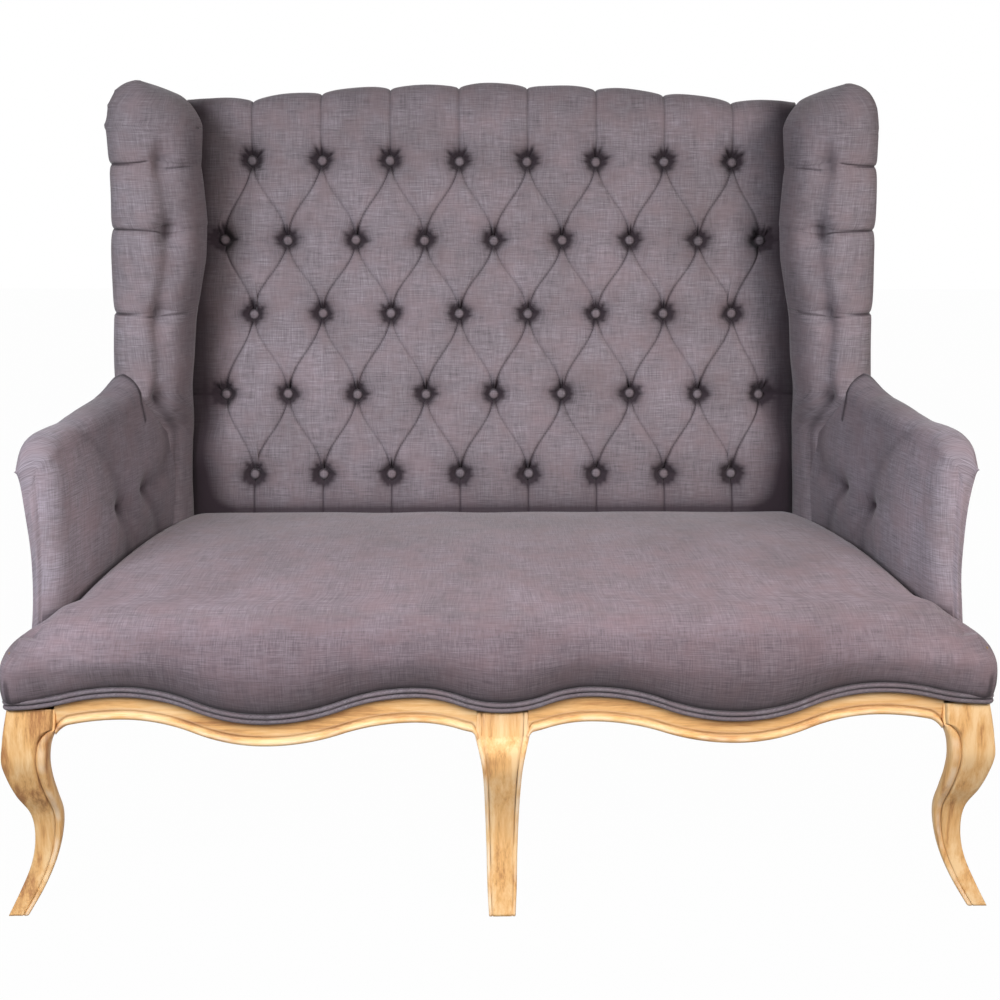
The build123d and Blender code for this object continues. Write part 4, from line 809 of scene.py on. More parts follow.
def wing(side):
    """One wing: side is 1 for the right and -1 for the left."""
    levels = np.array(wing_rows())
    grid = []
    for z, inner, outer, front, deep in levels:
        nicks = sum(size * decay(abs(z - at), wide) for at, size, wide in NICKS)
        line = wing_outline(z, inner, outer + nicks * (0.6 - 0.4 * side), front, deep)
        grid.append(np.column_stack((line, wing_height(z, line[:, 1]))))
    points = np.array(grid)
    weave = np.stack((arc_length(points, 1), points[..., 2]), -1)
    weave[..., 1] += 0.02 * np.clip(points[..., 2] - WING_DOME, 0, 1)
    ends = np.cumsum(WING_CUTS)
    column = np.broadcast_to(np.arange(points.shape[1]), points.shape[:2])
    height = np.broadcast_to(levels[:, :1], points.shape[:2])
    normal = -outward(points)
    push = np.zeros(points.shape[:2])
    dark = np.zeros(points.shape[:2])
    # pleats that run in from the outer edge to the tufts, and a little past them on the roll
    t = (column - ends[0] - 4) / (ends[2] - ends[0] - 4)
    for pleat, rise, reach, on in zip(WING_PLEATS, PLEAT_RISE, PLEAT_REACH, PAST_TUFT):
        away = np.abs(height - pleat - rise * np.clip(t, 0, 1) ** 1.5)
        here = part(t + 0.15, 0.2) * part(reach - t, 0.12)
        past = part(t - 1.05, 0.1) * part(1.75 - t, 0.3) * on
        short = np.abs(height - pleat + 0.004)
        push -= here * (0.0018 * decay(away, 0.010) + 0.0022 * decay(away, 0.0022))
        push -= past * (0.0020 * decay(short, 0.008) + 0.0020 * decay(short, 0.0022))
        # painted shade along the pleats
        dark += here * 0.8 * bell(away, 0.0016) + past * 0.7 * bell(short, 0.0016)
    # the tufts' line: a soft upright valley, deepest at each blind tuft
    band = part(height - 0.66, 0.04) * part(1.155 - height, 0.05)
    sway = ends[2] + 3 * np.sin(height * 21)
    push -= 0.0085 * band * bell(column - sway, 10.0)
    # painted shade down the valley
    dark += 0.16 * band * bell(column - sway, 7.0)
    for number, (tuft, deep) in enumerate(WING_TUFTS):
        row = np.argmin(np.abs(levels[:, 0] - tuft))
        away = np.linalg.norm(points - points[row, ends[2] + (0 if number % 2 else 2)], axis=-1)
        push -= deep * bell(away, 0.023)
        # painted shade in the tuft
        dark += deep * 32 * bell(away, 0.013)
    push += 0.0016 * pucker(points, 31 + side, 0.11, (1, 1, 1.6)) * part(t + 0.3, 0.3)
    push *= part(WING_TOP - 0.002 - height, 0.03)
    # painted shade on the inner roll, below the top
    roll = part(column - ends[2] - 4, 26)
    dark += 0.42 * roll ** 1.2 * part(1.20 - height, 0.08)
    # painted shade: on the top, in the shut crease against the back, and where the foot comes out
    # of the arm
    dark += 0.16 * part(height - 1.10, 0.1)
    dark += 0.8 * part(column - ends[3] - 6, ends[4] - ends[3] - 14) ** 1.3
    out_of_arm = points[..., 0] - arm_face(points[..., 1])
    dark += 0.45 * bell(out_of_arm, 0.006) * part(0.735 - height, 0.03)
    points = points + push[..., None] * normal
    points[..., 0] *= side
    name = hand_name(side)
    points, weave, dark = turned(side, 1, points[::-1], weave[::-1], dark[::-1])
    fitted(cloth_mesh("wing_" + name, points, weave, dark), cut_linen, "linen",
           "wing_cover_" + name, "wing_padding_" + name, "outside_wing_panel_" + name, fill=0.75)


# ---- arms -----------------------------------------------------------------------------------
ARM_HANG = 0.055        # how far the outside cloth runs below the arm's base, to the welt
NOSE_ROUND = 0.005      # rounding of the nose towards the outer side
CREST_DIP = ((-0.32, -0.15, -0.05), (-0.007, -0.007, 0.0))
CREST_SWELL = ((-0.055, -0.02, 0.01), (0.0, 0.012, 0.027))   # the padding puffs up at the wing
# soft valleys that run down from the crest through the tufts, as (y, z)
FIRST_VALLEY = ((-0.150, 0.680), (-0.120, 0.660), (-0.092, 0.625), (-0.080, 0.59),
                (-0.069, 0.542), (-0.071, 0.45))
SECOND_VALLEY = ((0.105, 0.700), (0.125, 0.655), (0.130, 0.605), (0.090, 0.570),
                 (0.025, 0.552), (0.045, 0.500), (0.055, 0.450))
ARM_TUFTS = ((-0.069, 0.542, 0.013), (0.022, 0.551, 0.012))     # y, z, depth
# folds drawn from the front tuft down towards the seat: their ends, and strength
ARM_FOLDS = ((-0.115, 0.47, 1.0), (-0.035, 0.46, 0.8), (0.0, 0.50, 0.6))
NOSE_CELLS = 30         # grid lines across the nose's front


def arm_outer(y):
    return side_x(y, REBATE) + PANEL_T


def arm_face(y):
    """X of the right arm's inner face at the seat."""
    return ARM_INNER - np.maximum(y - ARM_FULL, 0) * ARM_TURN


def arm_lines(y, turn):
    """The right arm's section on its leaning plane: inner face and crest, then outer face.

    Both run up from the seat to the seam at the crest's outer edge; turn goes from 0 at the
    nose's tip to a right angle where the arm is full."""
    tuck = 1 - sin(turn)
    share = (y - ARM_FRONT) / (ARM_BACK - ARM_FRONT)
    outer = arm_outer(y)
    inner = float(arm_face(y)) + tuck * NOSE_TUCK
    tip = outer + FLARE[0] + (FLARE[1] - FLARE[0]) * share - tuck * NOSE_TUCK * 0.2
    crest = (ARM_TOP - RAIL_TOP + ARM_RISE * share - tuck * NOSE_TUCK * 0.6
             + np.interp(y, *CREST_DIP))
    wide = tip - inner
    drop = 0.032 + 0.018 * min(1, (y - ARM_FRONT) / 0.15)
    swell = np.interp(y, *CREST_SWELL)
    shoulder = (inner + wide * 0.1, crest - 0.034 + swell * 0.5)
    middle = (tip - wide * 0.54, crest + swell)
    corner = (tip - wide * 0.12, crest - 0.010)
    seam = (tip, crest - drop)
    runs = [bend((inner + 0.004, -0.04), (inner + 0.002, -0.02), (inner, 0), count=6),
            bend((inner, 0), (inner - wide * 0.1, crest * 0.42), shoulder, count=64),
            bend(shoulder, (inner + wide * 0.23, crest - 0.008 + swell * 0.8), middle, count=20),
            bend(middle, (tip - wide * 0.30, crest - 0.001 + swell * 0.65), corner, count=14),
            bend(corner, (tip - 0.0025, crest - 0.010 - (drop - 0.010) * 0.42), seam, count=14)]
    inside = one_line(runs)
    foot = outer - tuck * NOSE_ROUND
    outside = one_line([bend((foot, -ARM_HANG), (foot, -ARM_HANG / 2), (foot, 0), count=12),
                        bend((foot, 0), (foot - 0.001, crest * 0.5), seam, count=90)])
    return even(inside, len(inside)), even(outside, len(inside))


def arm(side):
    """One arm: its cloth runs from the inside round the nose to the outside at every height."""
    nose = ARM_FULL - ARM_FRONT
    turns = np.linspace(pi / 2, 0, 26)
    stations = [(y, pi / 2) for y in np.linspace(ARM_BACK, ARM_FULL, 130)[:-1]]
    stations += [(ARM_FRONT + nose * (1 - cos(t)), t) for t in turns]
    inner, outer = zip(*[arm_lines(y, turn) for y, turn in stations])
    feet = [y for y, _ in stations]
    lines = list(inner)
    bow = [0.0] * len(inner)
    for t in np.linspace(0, 1, NOSE_CELLS)[1:-1]:
        lines.append(inner[-1] * (1 - t) + outer[-1] * t)
        bow.append(0.004 * sin(t * pi) ** 2)
    lines += list(outer[::-1])
    feet += [ARM_FRONT] * (NOSE_CELLS - 2) + feet[::-1]
    bow += [0.0] * len(outer)
    lean = np.array((0.0, sin(ARM_LEAN), cos(ARM_LEAN)))
    grid = np.array([np.array((0.0, y - swell, RAIL_TOP)) + line[:, :1] * ACROSS
                     + line[:, 1:] * lean for line, y, swell in zip(lines, feet, bow)])
    points = grid.transpose(1, 0, 2)
    weave = np.stack((arc_length(points, 1), arc_length(points, 0)), -1)
    normal = outward(points)
    push = 0.0014 * pucker(points, 51 + side, 0.12)
    dark = np.zeros(points.shape[:2])
    on_inside = np.broadcast_to(np.arange(points.shape[1]) < len(inner), points.shape[:2])
    flat = points[..., 1:]
    first = from_line(flat, FIRST_VALLEY)
    second = from_line(flat, SECOND_VALLEY)
    push -= on_inside * (0.0042 * bell(first, 0.032) + 0.004 * bell(second, 0.024))
    # painted shade in the valleys
    dark += on_inside * (0.15 * bell(first, 0.012) + 0.18 * bell(second, 0.012))
    for y, z, deep in ARM_TUFTS:
        away = np.hypot(flat[..., 0] - y, flat[..., 1] - z)
        crease = np.hypot((flat[..., 0] - y) * 0.35, (flat[..., 1] - z) * 1.8)
        push -= on_inside * (deep * bell(away, 0.026) + 0.003 * bell(crease, 0.007))
        # painted shade in the tufts and their creases
        dark += on_inside * (0.28 * bell(away, 0.016) + 0.3 * bell(crease, 0.004))
    for y, z, size in ARM_FOLDS:
        fold = from_line(flat, (ARM_TUFTS[0][:2], (y, z)))
        push -= on_inside * size * 0.0010 * bell(fold, 0.009)
        # painted shade along the folds
        dark += on_inside * size * 0.08 * bell(fold, 0.006)
    # painted shade: in the shut crease along the seat, over the inner face towards the back, and
    # where the crest runs in under the wing
    low = np.maximum(flat[..., 1] - 0.437, 0)
    dark += on_inside * (0.6 * decay(low, 0.010)
                         + 0.26 * decay(low, 0.05) * part(flat[..., 0] + 0.30, 0.14))
    dark += on_inside * 0.42 * part(flat[..., 0] + 0.22, 0.16)
    under = flat[..., 0] - wing_front(flat[..., 1]) + 0.002
    dark += 0.8 * bell(under, 0.0035) * (flat[..., 1] > 0.66)
    seam = np.arange(points.shape[0])[::-1][:, None]
    firm = part(np.arange(points.shape[0]) - 2, 8)[:, None] * part(seam, 8)
    # the seam's end stands out a little at the nose
    nub = np.linalg.norm(points - points[-1, len(inner) + 14], axis=-1)
    points = (points + (push * firm)[..., None] * normal
              + 0.005 * decay(nub, 0.007)[..., None] * np.array((0.6, -0.8, 0.1)))
    dark += 0.5 * bell(seam, 1.2) * ~on_inside
    points[..., 0] *= side
    name = hand_name(side)
    fitted(cloth_mesh("arm_" + name, *turned(side, 1, points, weave, dark)), lit_arm_linen, "linen",
           "arm_cover_" + name, "arm_padding_" + name, "outside_arm_panel_" + name, fill=0.75)


# ---- seat -----------------------------------------------------------------------------------
SEAT_HALF = FRONT_HALF + SEAT_SIDE
SEAT_FACE = RAIL_Y - SEAT_BULGE
CORNER_POWER = (2.6, 9.0)       # how square the seat's corners are from above: top, welt
SEAT_CELL = 0.005
WELT_RISE = 2 * (WELT_D + WELT_GAP)     # the double welt's height over the bare wood
SEAT_LOW = 0.425        # height from which the seat's lower edge follows the welt
SEAT_TUCK = 0.0195      # how far it draws in down to the welt
TUCK_HIGH = 0.072       # and over what height
SIDE_TUCK = 0.12        # share of that at the ends
# under the arms, out of sight: where it begins, half width there, and its taper
NARROW_FROM = -0.338
NARROW_HALF = 0.690
NARROW_TAPER = 0.163
CORNER_FOLDS = ((0.7165, 0.8), (0.7275, 0.9))   # folded corners: from the middle, strength


def from_arms(x, y):
    """How far a point of the seat is from the arms' foot."""
    face = arm_face(y) + NOSE_TUCK * part(ARM_FULL - y, 0.042) ** 2
    return np.hypot(np.maximum(face - np.abs(x), 0), np.maximum(ARM_FRONT - 0.002 - y, 0))


def seat_shape(x, y, z):
    """Puts points of a plain box on the tight seat: rolled edges, a crown, and the welt's curve."""
    foot = WOOD_BAND[-1]
    q = np.stack((np.maximum(np.abs(x) - (SEAT_HALF - SIDE_ROLL), 0) / SIDE_ROLL,
                  np.maximum(SEAT_FACE + SEAT_ROLL - y, 0) / SEAT_ROLL,
                  np.maximum(z - (SEAT_FRONT - SEAT_ROLL), 0) / SEAT_ROLL))
    power = CORNER_POWER[0] + (CORNER_POWER[1] - CORNER_POWER[0]) * part(0.405 - z, 0.06)
    flat = (q[0] ** power + q[1] ** power) ** (1 / power)
    size = np.maximum(np.sqrt(flat ** 2 + q[2] ** 2), 1e-9)
    # a cube's corner pulled on to its sphere: the same ray, scaled to the largest of its parts
    scale = np.maximum(flat, q[2]) / size
    inside = (np.minimum(np.abs(x), SEAT_HALF - SIDE_ROLL), np.maximum(y, SEAT_FACE + SEAT_ROLL),
              np.minimum(z, SEAT_FRONT - SEAT_ROLL))
    widest = np.maximum(np.maximum(q[0], q[1]), 1e-9)
    level = np.where(flat > 1e-6, widest / np.maximum(flat, 1e-9), 1)
    px = inside[0] + (np.abs(x) - inside[0]) * scale * level
    py = inside[1] + (y - inside[1]) * scale * level
    pz = inside[2] + (z - inside[2]) * scale
    # behind the arms' noses the seat draws in, under the arms
    hidden = part(py - NARROW_FROM, 0.05)
    hidden = hidden ** 2 * (3 - 2 * hidden)
    narrow = NARROW_HALF - np.maximum(py + 0.29, 0) * NARROW_TAPER
    px = px * (1 + hidden * (narrow / SEAT_HALF - 1))
    # crown from the front roll to the back, rolled down against the arms and the back
    rear = back_y(SEAT_REAR)
    t = part(py - SEAT_FACE - SEAT_ROLL, rear - SEAT_FACE - SEAT_ROLL)
    crown = (SEAT_CROWN - SEAT_FRONT) * 4 * t * (1 - t) * 0.9 + (SEAT_REAR - SEAT_FRONT) * t
    beside = from_arms(px, py)
    behind = np.maximum(back_y(0.46, PEAK_OUT) - py, 0)
    upper = part(pz - 0.40, 0.05)
    fall = 0.036 * (1 - np.sqrt(1 - np.clip(1 - beside / 0.050, 0, 1) ** 2))
    fall = fall + 0.016 * (1 - np.sqrt(1 - np.clip(1 - behind / 0.030, 0, 1) ** 2))
    fall = fall + 0.018 * part(px - 0.645, 0.08) ** 1.4
    pz = pz + (crown - fall) * upper
    # the lower edge follows the welt
    line = wave_z(np.minimum(px, FRONT_HALF)) + WELT_RISE - 0.003
    low = part(SEAT_LOW - pz, SEAT_LOW - foot)
    pz = pz + (line - foot) * low
    above = np.maximum(pz - line, 0)
    tuck = SEAT_TUCK * np.clip(1 - above / TUCK_HIGH, 0, 1) ** 2 + 0.001 * decay(above, 0.006)
    on_front = part(SEAT_FACE + 0.03 - py, 0.02)
    on_side = part(px - SEAT_HALF + 0.03, 0.02) * (1 - hidden)
    py = py + tuck * on_front * (1 - 0.5 * part(px - 0.665, 0.05))
    px = px - SIDE_TUCK * tuck * on_side
    return np.stack((np.sign(x) * px, py, pz), -1)


def seat():
    """The tight seat: a top, a front and two ends, shaped together and welded."""
    rear = back_y(SEAT_REAR, PEAK_OUT) + 0.018
    foot = WOOD_BAND[-1]
    x = np.linspace(-SEAT_HALF, SEAT_HALF, int(2 * SEAT_HALF / SEAT_CELL) + 1)
    y = np.linspace(SEAT_FACE, rear, int((rear - SEAT_FACE) / SEAT_CELL) + 1)
    z = np.linspace(foot, SEAT_FRONT, int((SEAT_FRONT - foot) / SEAT_CELL) + 1)
    X, Y = np.meshgrid(x, y)
    grids = [(X, Y, np.full_like(X, SEAT_FRONT), (X, Y))]
    X, Z = np.meshgrid(x, z)
    grids.append((X, np.full_like(X, SEAT_FACE), Z, (X, SEAT_FACE - SEAT_FRONT + Z)))
    for end in (-1, 1):
        Y, Z = np.meshgrid(y[::end], z)
        grids.append((np.full_like(Y, end * SEAT_HALF), Y, Z,
                      (end * (SEAT_HALF + SEAT_FRONT - Z), Y)))
    pieces = []
    for X, Y, Z, weave in grids:
        points = seat_shape(X, Y, Z)
        bare = wave_z(np.minimum(np.abs(points[..., 0]), FRONT_HALF))
        above = points[..., 2] - bare - (WELT_RISE - WELT_GAP)
        firm = part(above, 0.03)
        points[..., 2] += 0.0010 * pucker(points, 71, 0.16) * firm
        points[..., 1] += 0.0008 * pucker(points, 72, 0.11) * firm
        out, depth, high = np.abs(points[..., 0]), points[..., 1], points[..., 2]
        # painted shade in the shut creases: at the welt, at the arms and at the back
        welt, arms = np.maximum(above, 0), from_arms(out, depth)
        dark = 0.6 * decay(welt, 0.003) + 0.35 * decay(welt, 0.022)
        dark += (0.75 * decay(arms, 0.007) + 0.25 * decay(arms, 0.04)) * (high > 0.40)
        dark += 0.75 * decay(np.maximum(back_y(high, PEAK_OUT - 0.004) - depth, 0), 0.012)
        # painted shade: the middle darker towards the back and low on the front
        middle = part(0.62 - out, 0.14)
        dark += middle * (0.05 + 0.27 * part(depth + 0.25, 0.4)
                          + 0.30 * part(0.455 - high, 0.03) * (depth < -0.34))
        # painted shade in the folded corners
        for at, size in CORNER_FOLDS:
            fold = bell(out - at, 0.0026) * (depth < -0.37) * part(above, 0.004)
            dark += size * fold * part(0.378 - high, 0.008)
        pieces.append(cloth_mesh("seat", points, np.stack(weave, -1), dark))
    piece = joined("tight_seat", pieces)
    weld = piece.modifiers.new("weld", "WELD")
    weld.merge_threshold = 0.0004
    fitted(piece, warm_lit_seat_linen, "linen", "seat_cover", "seat_foam", fill=0.85)


# ---- double welt ----------------------------------------------------------------------------
def welt_line(lift):
    """Middle line of a cord: along the rails' wave, round the corners and back to the rear."""
    x = np.linspace(0, FRONT_HALF - REBATE, 260)
    level = WOOD_BAND[-1] + lift
    face = RAIL_Y - WELT_OUT
    front = np.column_stack((x, np.full(len(x), face), wave_z(x) + lift))
    turn = np.linspace(0, pi / 2 + SPLAY, 12)[1:]
    share = sin(turn[-1]) + (1 - cos(turn[-1])) * SPLAY
    radius = (REBATE + WELT_OUT + WELT_OUT * SPLAY) / share
    corner = np.column_stack((FRONT_HALF - REBATE + radius * np.sin(turn),
                              face + radius * (1 - np.cos(turn)),
                              np.full(len(turn), level)))
    y = np.linspace(corner[-1, 1], back_y(level, FRAME_REAR), 90)[1:]
    end = np.column_stack((corner[-1, 0] - (y - corner[-1, 1]) * SPLAY, y, np.full(len(y), level)))
    half = np.concatenate((front, corner, end))
    return np.concatenate((half[:0:-1] * (-1, 1, 1), half))


def welt_cord(name, node, lift, seed):
    """One covered cord, its threads cut on the cross."""
    line = welt_line(lift)
    along = np.gradient(line, axis=0)
    along /= np.linalg.norm(along, axis=1, keepdims=True)
    out = np.cross(along, (0, 0, 1.0))
    out /= np.linalg.norm(out, axis=1, keepdims=True)
    up = np.cross(out, along)
    angle = np.linspace(0, 2 * pi, 17)[:-1]
    length = np.r_[0, np.cumsum(np.linalg.norm(np.diff(line, axis=0), axis=1))]
    radius = WELT_D / 2 + 0.00025 * pucker(line, seed, 0.03)[:, None]
    points = (line[:, None] + (radius * np.cos(angle))[..., None] * out[:, None]
              + (radius * np.sin(angle))[..., None] * up[:, None])
    round_it = np.broadcast_to(angle * WELT_D / 2, points.shape[:2])
    run = np.broadcast_to(length[:, None], points.shape[:2])
    weave = np.stack((run + round_it, run - round_it), -1) * 0.7
    # painted shade: the cords darker all over, most where they press on each other and the seat
    dark = np.broadcast_to(0.26 + 0.7 * np.sin(angle) ** 4, points.shape[:2])
    fitted(cloth_mesh(name, points, weave, dark, close=True), cut_linen, "welt_cord", node)


# ---- bare wood ------------------------------------------------------------------------------
def wood_piece(name, points, dark, worn, finish, node):
    """A carved piece from closed sections, its grooves dark with grime and painted shade, its edges
    worn.
    """
    piece = cloth_mesh(name, points, points[..., (0, 2)], dark, close=True)
    write_layer(piece.data, "worn", worn)
    caps = bmesh.new()
    caps.from_mesh(piece.data)
    caps.verts.ensure_lookup_table()
    rows, count = points.shape[:2]
    for row in (0, rows - 1):
        ring = [caps.verts[row * count + k] for k in range(count)]
        caps.faces.new(ring if row else ring[::-1])
    bmesh.ops.recalc_face_normals(caps, faces=caps.faces)
    caps.to_mesh(piece.data)
    caps.free()
    fitted(piece, finish, "show_wood", node)


def patchy(points, seed, size):
    """Between 0 and 1, in patches of about that size."""
    return np.clip(0.5 + 0.7 * pucker(points, seed, size), 0, 1)


def show_rail(side):
    """Front rail: a hollowed band over a groove and a worn bead that follow the wave."""
    x = np.linspace(CENTRE_HALF, FRONT_HALF - LEG_WIDE[-1] + 0.0005, 300)
    turn_in = np.clip(1 - np.minimum((x - CENTRE_HALF) / 0.009, (x[-1] - x) / 0.020), 0, 1)
    flat = np.ones((len(x), 1))
    top, low = wave_z(x)[:, None], (wave_z(x, RAIL_EDGE) - 0.011 * turn_in ** 2)[:, None]
    groove = low + BEAD_H + 0.0025
    # a section of the rail: down its face, round the bead, and up its back
    down = np.linspace(0, 1, 15)
    face_z = top + (groove - top) * down
    face_y = flat * (0.0004 + 0.0016 * np.sin(pi * down) + 0.0035 * down ** 9)
    round_it = np.linspace(0.12, 1, 12) * pi
    bead_z = low + BEAD_H / 2 * (1 + np.cos(round_it))
    bead_y = flat * (0.0015 - (BEAD_OUT + 0.0015) * np.sin(round_it))
    rear_y = flat * (REBATE, RAIL_T, RAIL_T, REBATE, REBATE)
    rear_z = np.concatenate((low, low, flat * RAIL_TOP, flat * RAIL_TOP, top), 1)
    Y = RAIL_Y + np.concatenate((face_y, bead_y, rear_y), 1)
    Z = np.concatenate((face_z, bead_z, rear_z), 1)
    points = np.stack((side * x[:, None] * np.ones(Y.shape[1]), Y, Z), -1)
    seen = np.arange(Y.shape[1]) < len(down) + len(round_it)
    # painted shadow under the welt, and grime with painted shade in the groove
    dark = seen * (0.50 * bell(top - Z, 0.007) + 0.55 * bell(Z - groove, 0.0016)
                   * (0.55 + 0.45 * patchy(points, 41, 0.05)))
    crest = bell(Z - low - 0.0062, 0.0026) * (Z < groove - 0.001)
    worn = seen * (0.62 * crest * patchy(points, 43, 0.03)
                   + 0.3 * bell(Z - groove - 0.0035, 0.0012))
    name = hand_name(side)
    wood_piece("show_rail_" + name, *turned(side, 0, points, dark, worn), rail_wood,
               "front_rail_" + name)


def smooth_size(z, heights, sizes):
    """Sizes between the set heights, on a curve through them."""
    heights, sizes = np.array(heights, float), np.array(sizes, float)
    slope = np.gradient(sizes, heights)
    k = np.clip(np.searchsorted(heights, z, side="right") - 1, 0, len(heights) - 2)
    span = heights[k + 1] - heights[k]
    t = (z - heights[k]) / span
    return ((1 + 2 * t) * (1 - t) ** 2 * sizes[k] + t * (1 - t) ** 2 * span * slope[k]
            + t ** 2 * (3 - 2 * t) * sizes[k + 1] + t ** 2 * (t - 1) * span * slope[k + 1])


LEG_BEAD = 0.26         # bead of a corner leg, as a share of its width
LEG_GROOVE = 0.07       # and the groove beside it
BEAD_ENDS = (0.268, 0.026)      # height where the bead starts to run out, and over how much
BLOCK_OUT = (0.0045, -0.0015)   # the block above the leg, at its foot and its top: how far out
BLOCK_WIDE = (0.0740, 0.0705)   # and how wide
BLOCK_CUT = 0.050       # cut across the block's inner corner


def corner_section():
    """Section of a corner leg of width 1: across, back, dark and worn at each point."""
    bead, groove = LEG_BEAD, LEG_GROOVE
    turn = np.linspace(0, pi, 9)
    face = [(-u, 0.012 * sin(pi * (u - 0.03) / (0.97 - bead)), 0.0, 0.0)
            for u in np.linspace(0.03, 1 - bead - 0.03, 10)]
    hollow = [(-(1 - bead), groove, 0.8, 0.0)]
    roll = [(-(1 - bead / 2 - bead / 2 * 0.86 * cos(t)), groove * 0.7 * (1 - sin(t)),
             0.0, sin(t) ** 3) for t in turn]
    front = face + hollow + roll
    inner = [(-1.0, 0.10, 0, 0), (-1.0, 0.30, 0.25, 0), (-0.86, 0.52, 0.3, 0),
             (-BACK_CUT, BACK_CUT, 0.1, 0), (-0.52, 0.86, 0.3, 0), (-0.30, 1.0, 0.25, 0),
             (-0.10, 1.0, 0, 0)]
    side = [(-b, -a, dark, worn) for a, b, dark, worn in front[::-1]]
    return np.array(front + inner + side)


def show_leg(side):
    """Corner leg: a cabriole with a carved bead down both inner edges, and its block above."""
    heights = LEG_Z + (WOOD_BAND[-1],)
    z = np.unique(np.r_[np.linspace(0, heights[-1], 120), heights])
    out = smooth_size(z, heights, LEG_OUT[:-1] + BLOCK_OUT)
    wide = smooth_size(z, heights, LEG_WIDE[:-1] + BLOCK_WIDE)
    section = corner_section()
    # the bead narrows and runs out under the block, on the front and, mirrored, on the side
    bead = LEG_BEAD * np.sqrt(1 - part(z - BEAD_ENDS[0], BEAD_ENDS[1]) ** 2)[:, None]
    plain = 1 - LEG_BEAD
    across, back = section[:, 0], section[:, 1]
    on_bead, on_face = (across < -plain) & (back < 0.2), (across >= -plain) & (back < 0.05)
    side_bead, side_face = on_bead[::-1], on_face[::-1]
    across = np.where(on_bead, -1 + (across + 1) * bead / LEG_BEAD, across)
    across = np.where(on_face, across * (1 - bead) / plain, across)
    across = np.where(side_bead, section[:, 0] * bead / LEG_BEAD, across)
    back = np.where(on_bead, back * bead / LEG_BEAD, back)
    back = np.where(side_bead, 1 + (section[:, 1] - 1) * bead / LEG_BEAD, back)
    back = np.where(side_face, section[:, 1] * (1 - bead) / plain, back)
    X = FRONT_HALF + out[:, None] + wide[:, None] * across
    Y = RAIL_Y - out[:, None] + wide[:, None] * back
    grid = [np.stack((X, Y, z[:, None] * np.ones(len(section))), -1)]
    # the block, set back behind the upholstery
    for level, cut in ((WOOD_BAND[-1], REBATE), (RAIL_TOP - 0.018, REBATE), (RAIL_TOP, 0.018)):
        inset_x = np.maximum(FRONT_HALF - X[-1], cut)
        inset_y = np.maximum(Y[-1] - RAIL_Y, cut)
        corner = np.maximum(BLOCK_CUT - inset_x - inset_y, 0) / 2
        grid.append(np.stack((FRONT_HALF - inset_x - corner, RAIL_Y + inset_y + corner,
                              np.full(len(section), level)), -1)[None])
    points = np.concatenate(grid)
    points[..., 0] *= side
    level = points[..., 2]
    carved = part(0.296 - level, 0.006)
    # grime with painted shade in the grooves and inner corners, and painted shadow under the welt
    dark = section[:, 2] * carved * (0.30 + 0.60 * patchy(points, 47, 0.05))
    dark = dark + 0.15 * bell(level - WOOD_BAND[-1], 0.005)
    worn = 0.7 * section[:, 3] * carved * patchy(points, 53, 0.03)
    name = hand_name(side)
    wood_piece("show_leg_" + name, *turned(side, 0, points, dark, worn), leg_wood,
               "front_leg_" + name)


def centre_leg():
    """Straight middle leg with its front edges beaded, flaring into the block between the rails."""
    z = np.unique(np.r_[np.linspace(0, CENTRE_Z[-1], 80), CENTRE_Z])
    ahead = smooth_size(z, CENTRE_Z, CENTRE_Y)
    wide = smooth_size(z, CENTRE_Z, CENTRE_WIDE)
    deep = smooth_size(z, CENTRE_Z, CENTRE_DEEP)
    edge = [(0.5, 0.22, 0, 0), (0.5, 0.07, 0, 0), (0.485, 0.02, 0, 0.7), (0.44, 0.0, 0, 1.0),
            (0.40, 0.012, 0, 0.3), (0.375, 0.045, 0.75, 0), (0.345, 0.008, 0.1, 0.2)]
    half = edge + [(0.30, 0, 0, 0), (0.2, 0, 0, 0), (0.1, 0, 0, 0), (0, 0, 0, 0)]
    other = [(-a, b, dark, worn) for a, b, dark, worn in half[-2::-1]]
    section = np.array(half + other)
    X = wide[:, None] * section[:, 0]
    Y = RAIL_Y + ahead[:, None] + wide[:, None] * section[:, 1]
    rear = RAIL_Y + (ahead + deep)[:, None]
    X = np.concatenate((X, -wide[:, None] / 2, wide[:, None] / 2), 1)
    Y = np.concatenate((Y, rear, rear), 1)
    grid = [np.stack((X, Y, z[:, None] * np.ones(X.shape[1])), -1)]
    top = float(wave_z(0))
    for level, cut in ((top - 0.0005, 0), (top, REBATE), (RAIL_TOP, REBATE)):
        grid.append(np.stack((np.clip(X[-1], -CENTRE_HALF, CENTRE_HALF),
                              np.maximum(Y[-1], RAIL_Y + cut),
                              np.full(X.shape[1], level)), -1)[None])
    points = np.concatenate(grid)
    level = points[..., 2]
    carved = part(0.300 - level, 0.02)
    tone = np.concatenate((section[:, 2:], np.zeros((2, 2))))
    # grime with painted shade in the grooves, and painted shadow under the welt
    dark = tone[:, 0] * carved * patchy(points, 59, 0.06)
    dark = dark + 0.4 * bell(level - top, 0.006)
    worn = tone[:, 1] * carved * patchy(points, 61, 0.03)
    wood_piece("show_leg_centre", points[::-1], dark[::-1], worn[::-1], leg_wood,
               "front_leg_centre")


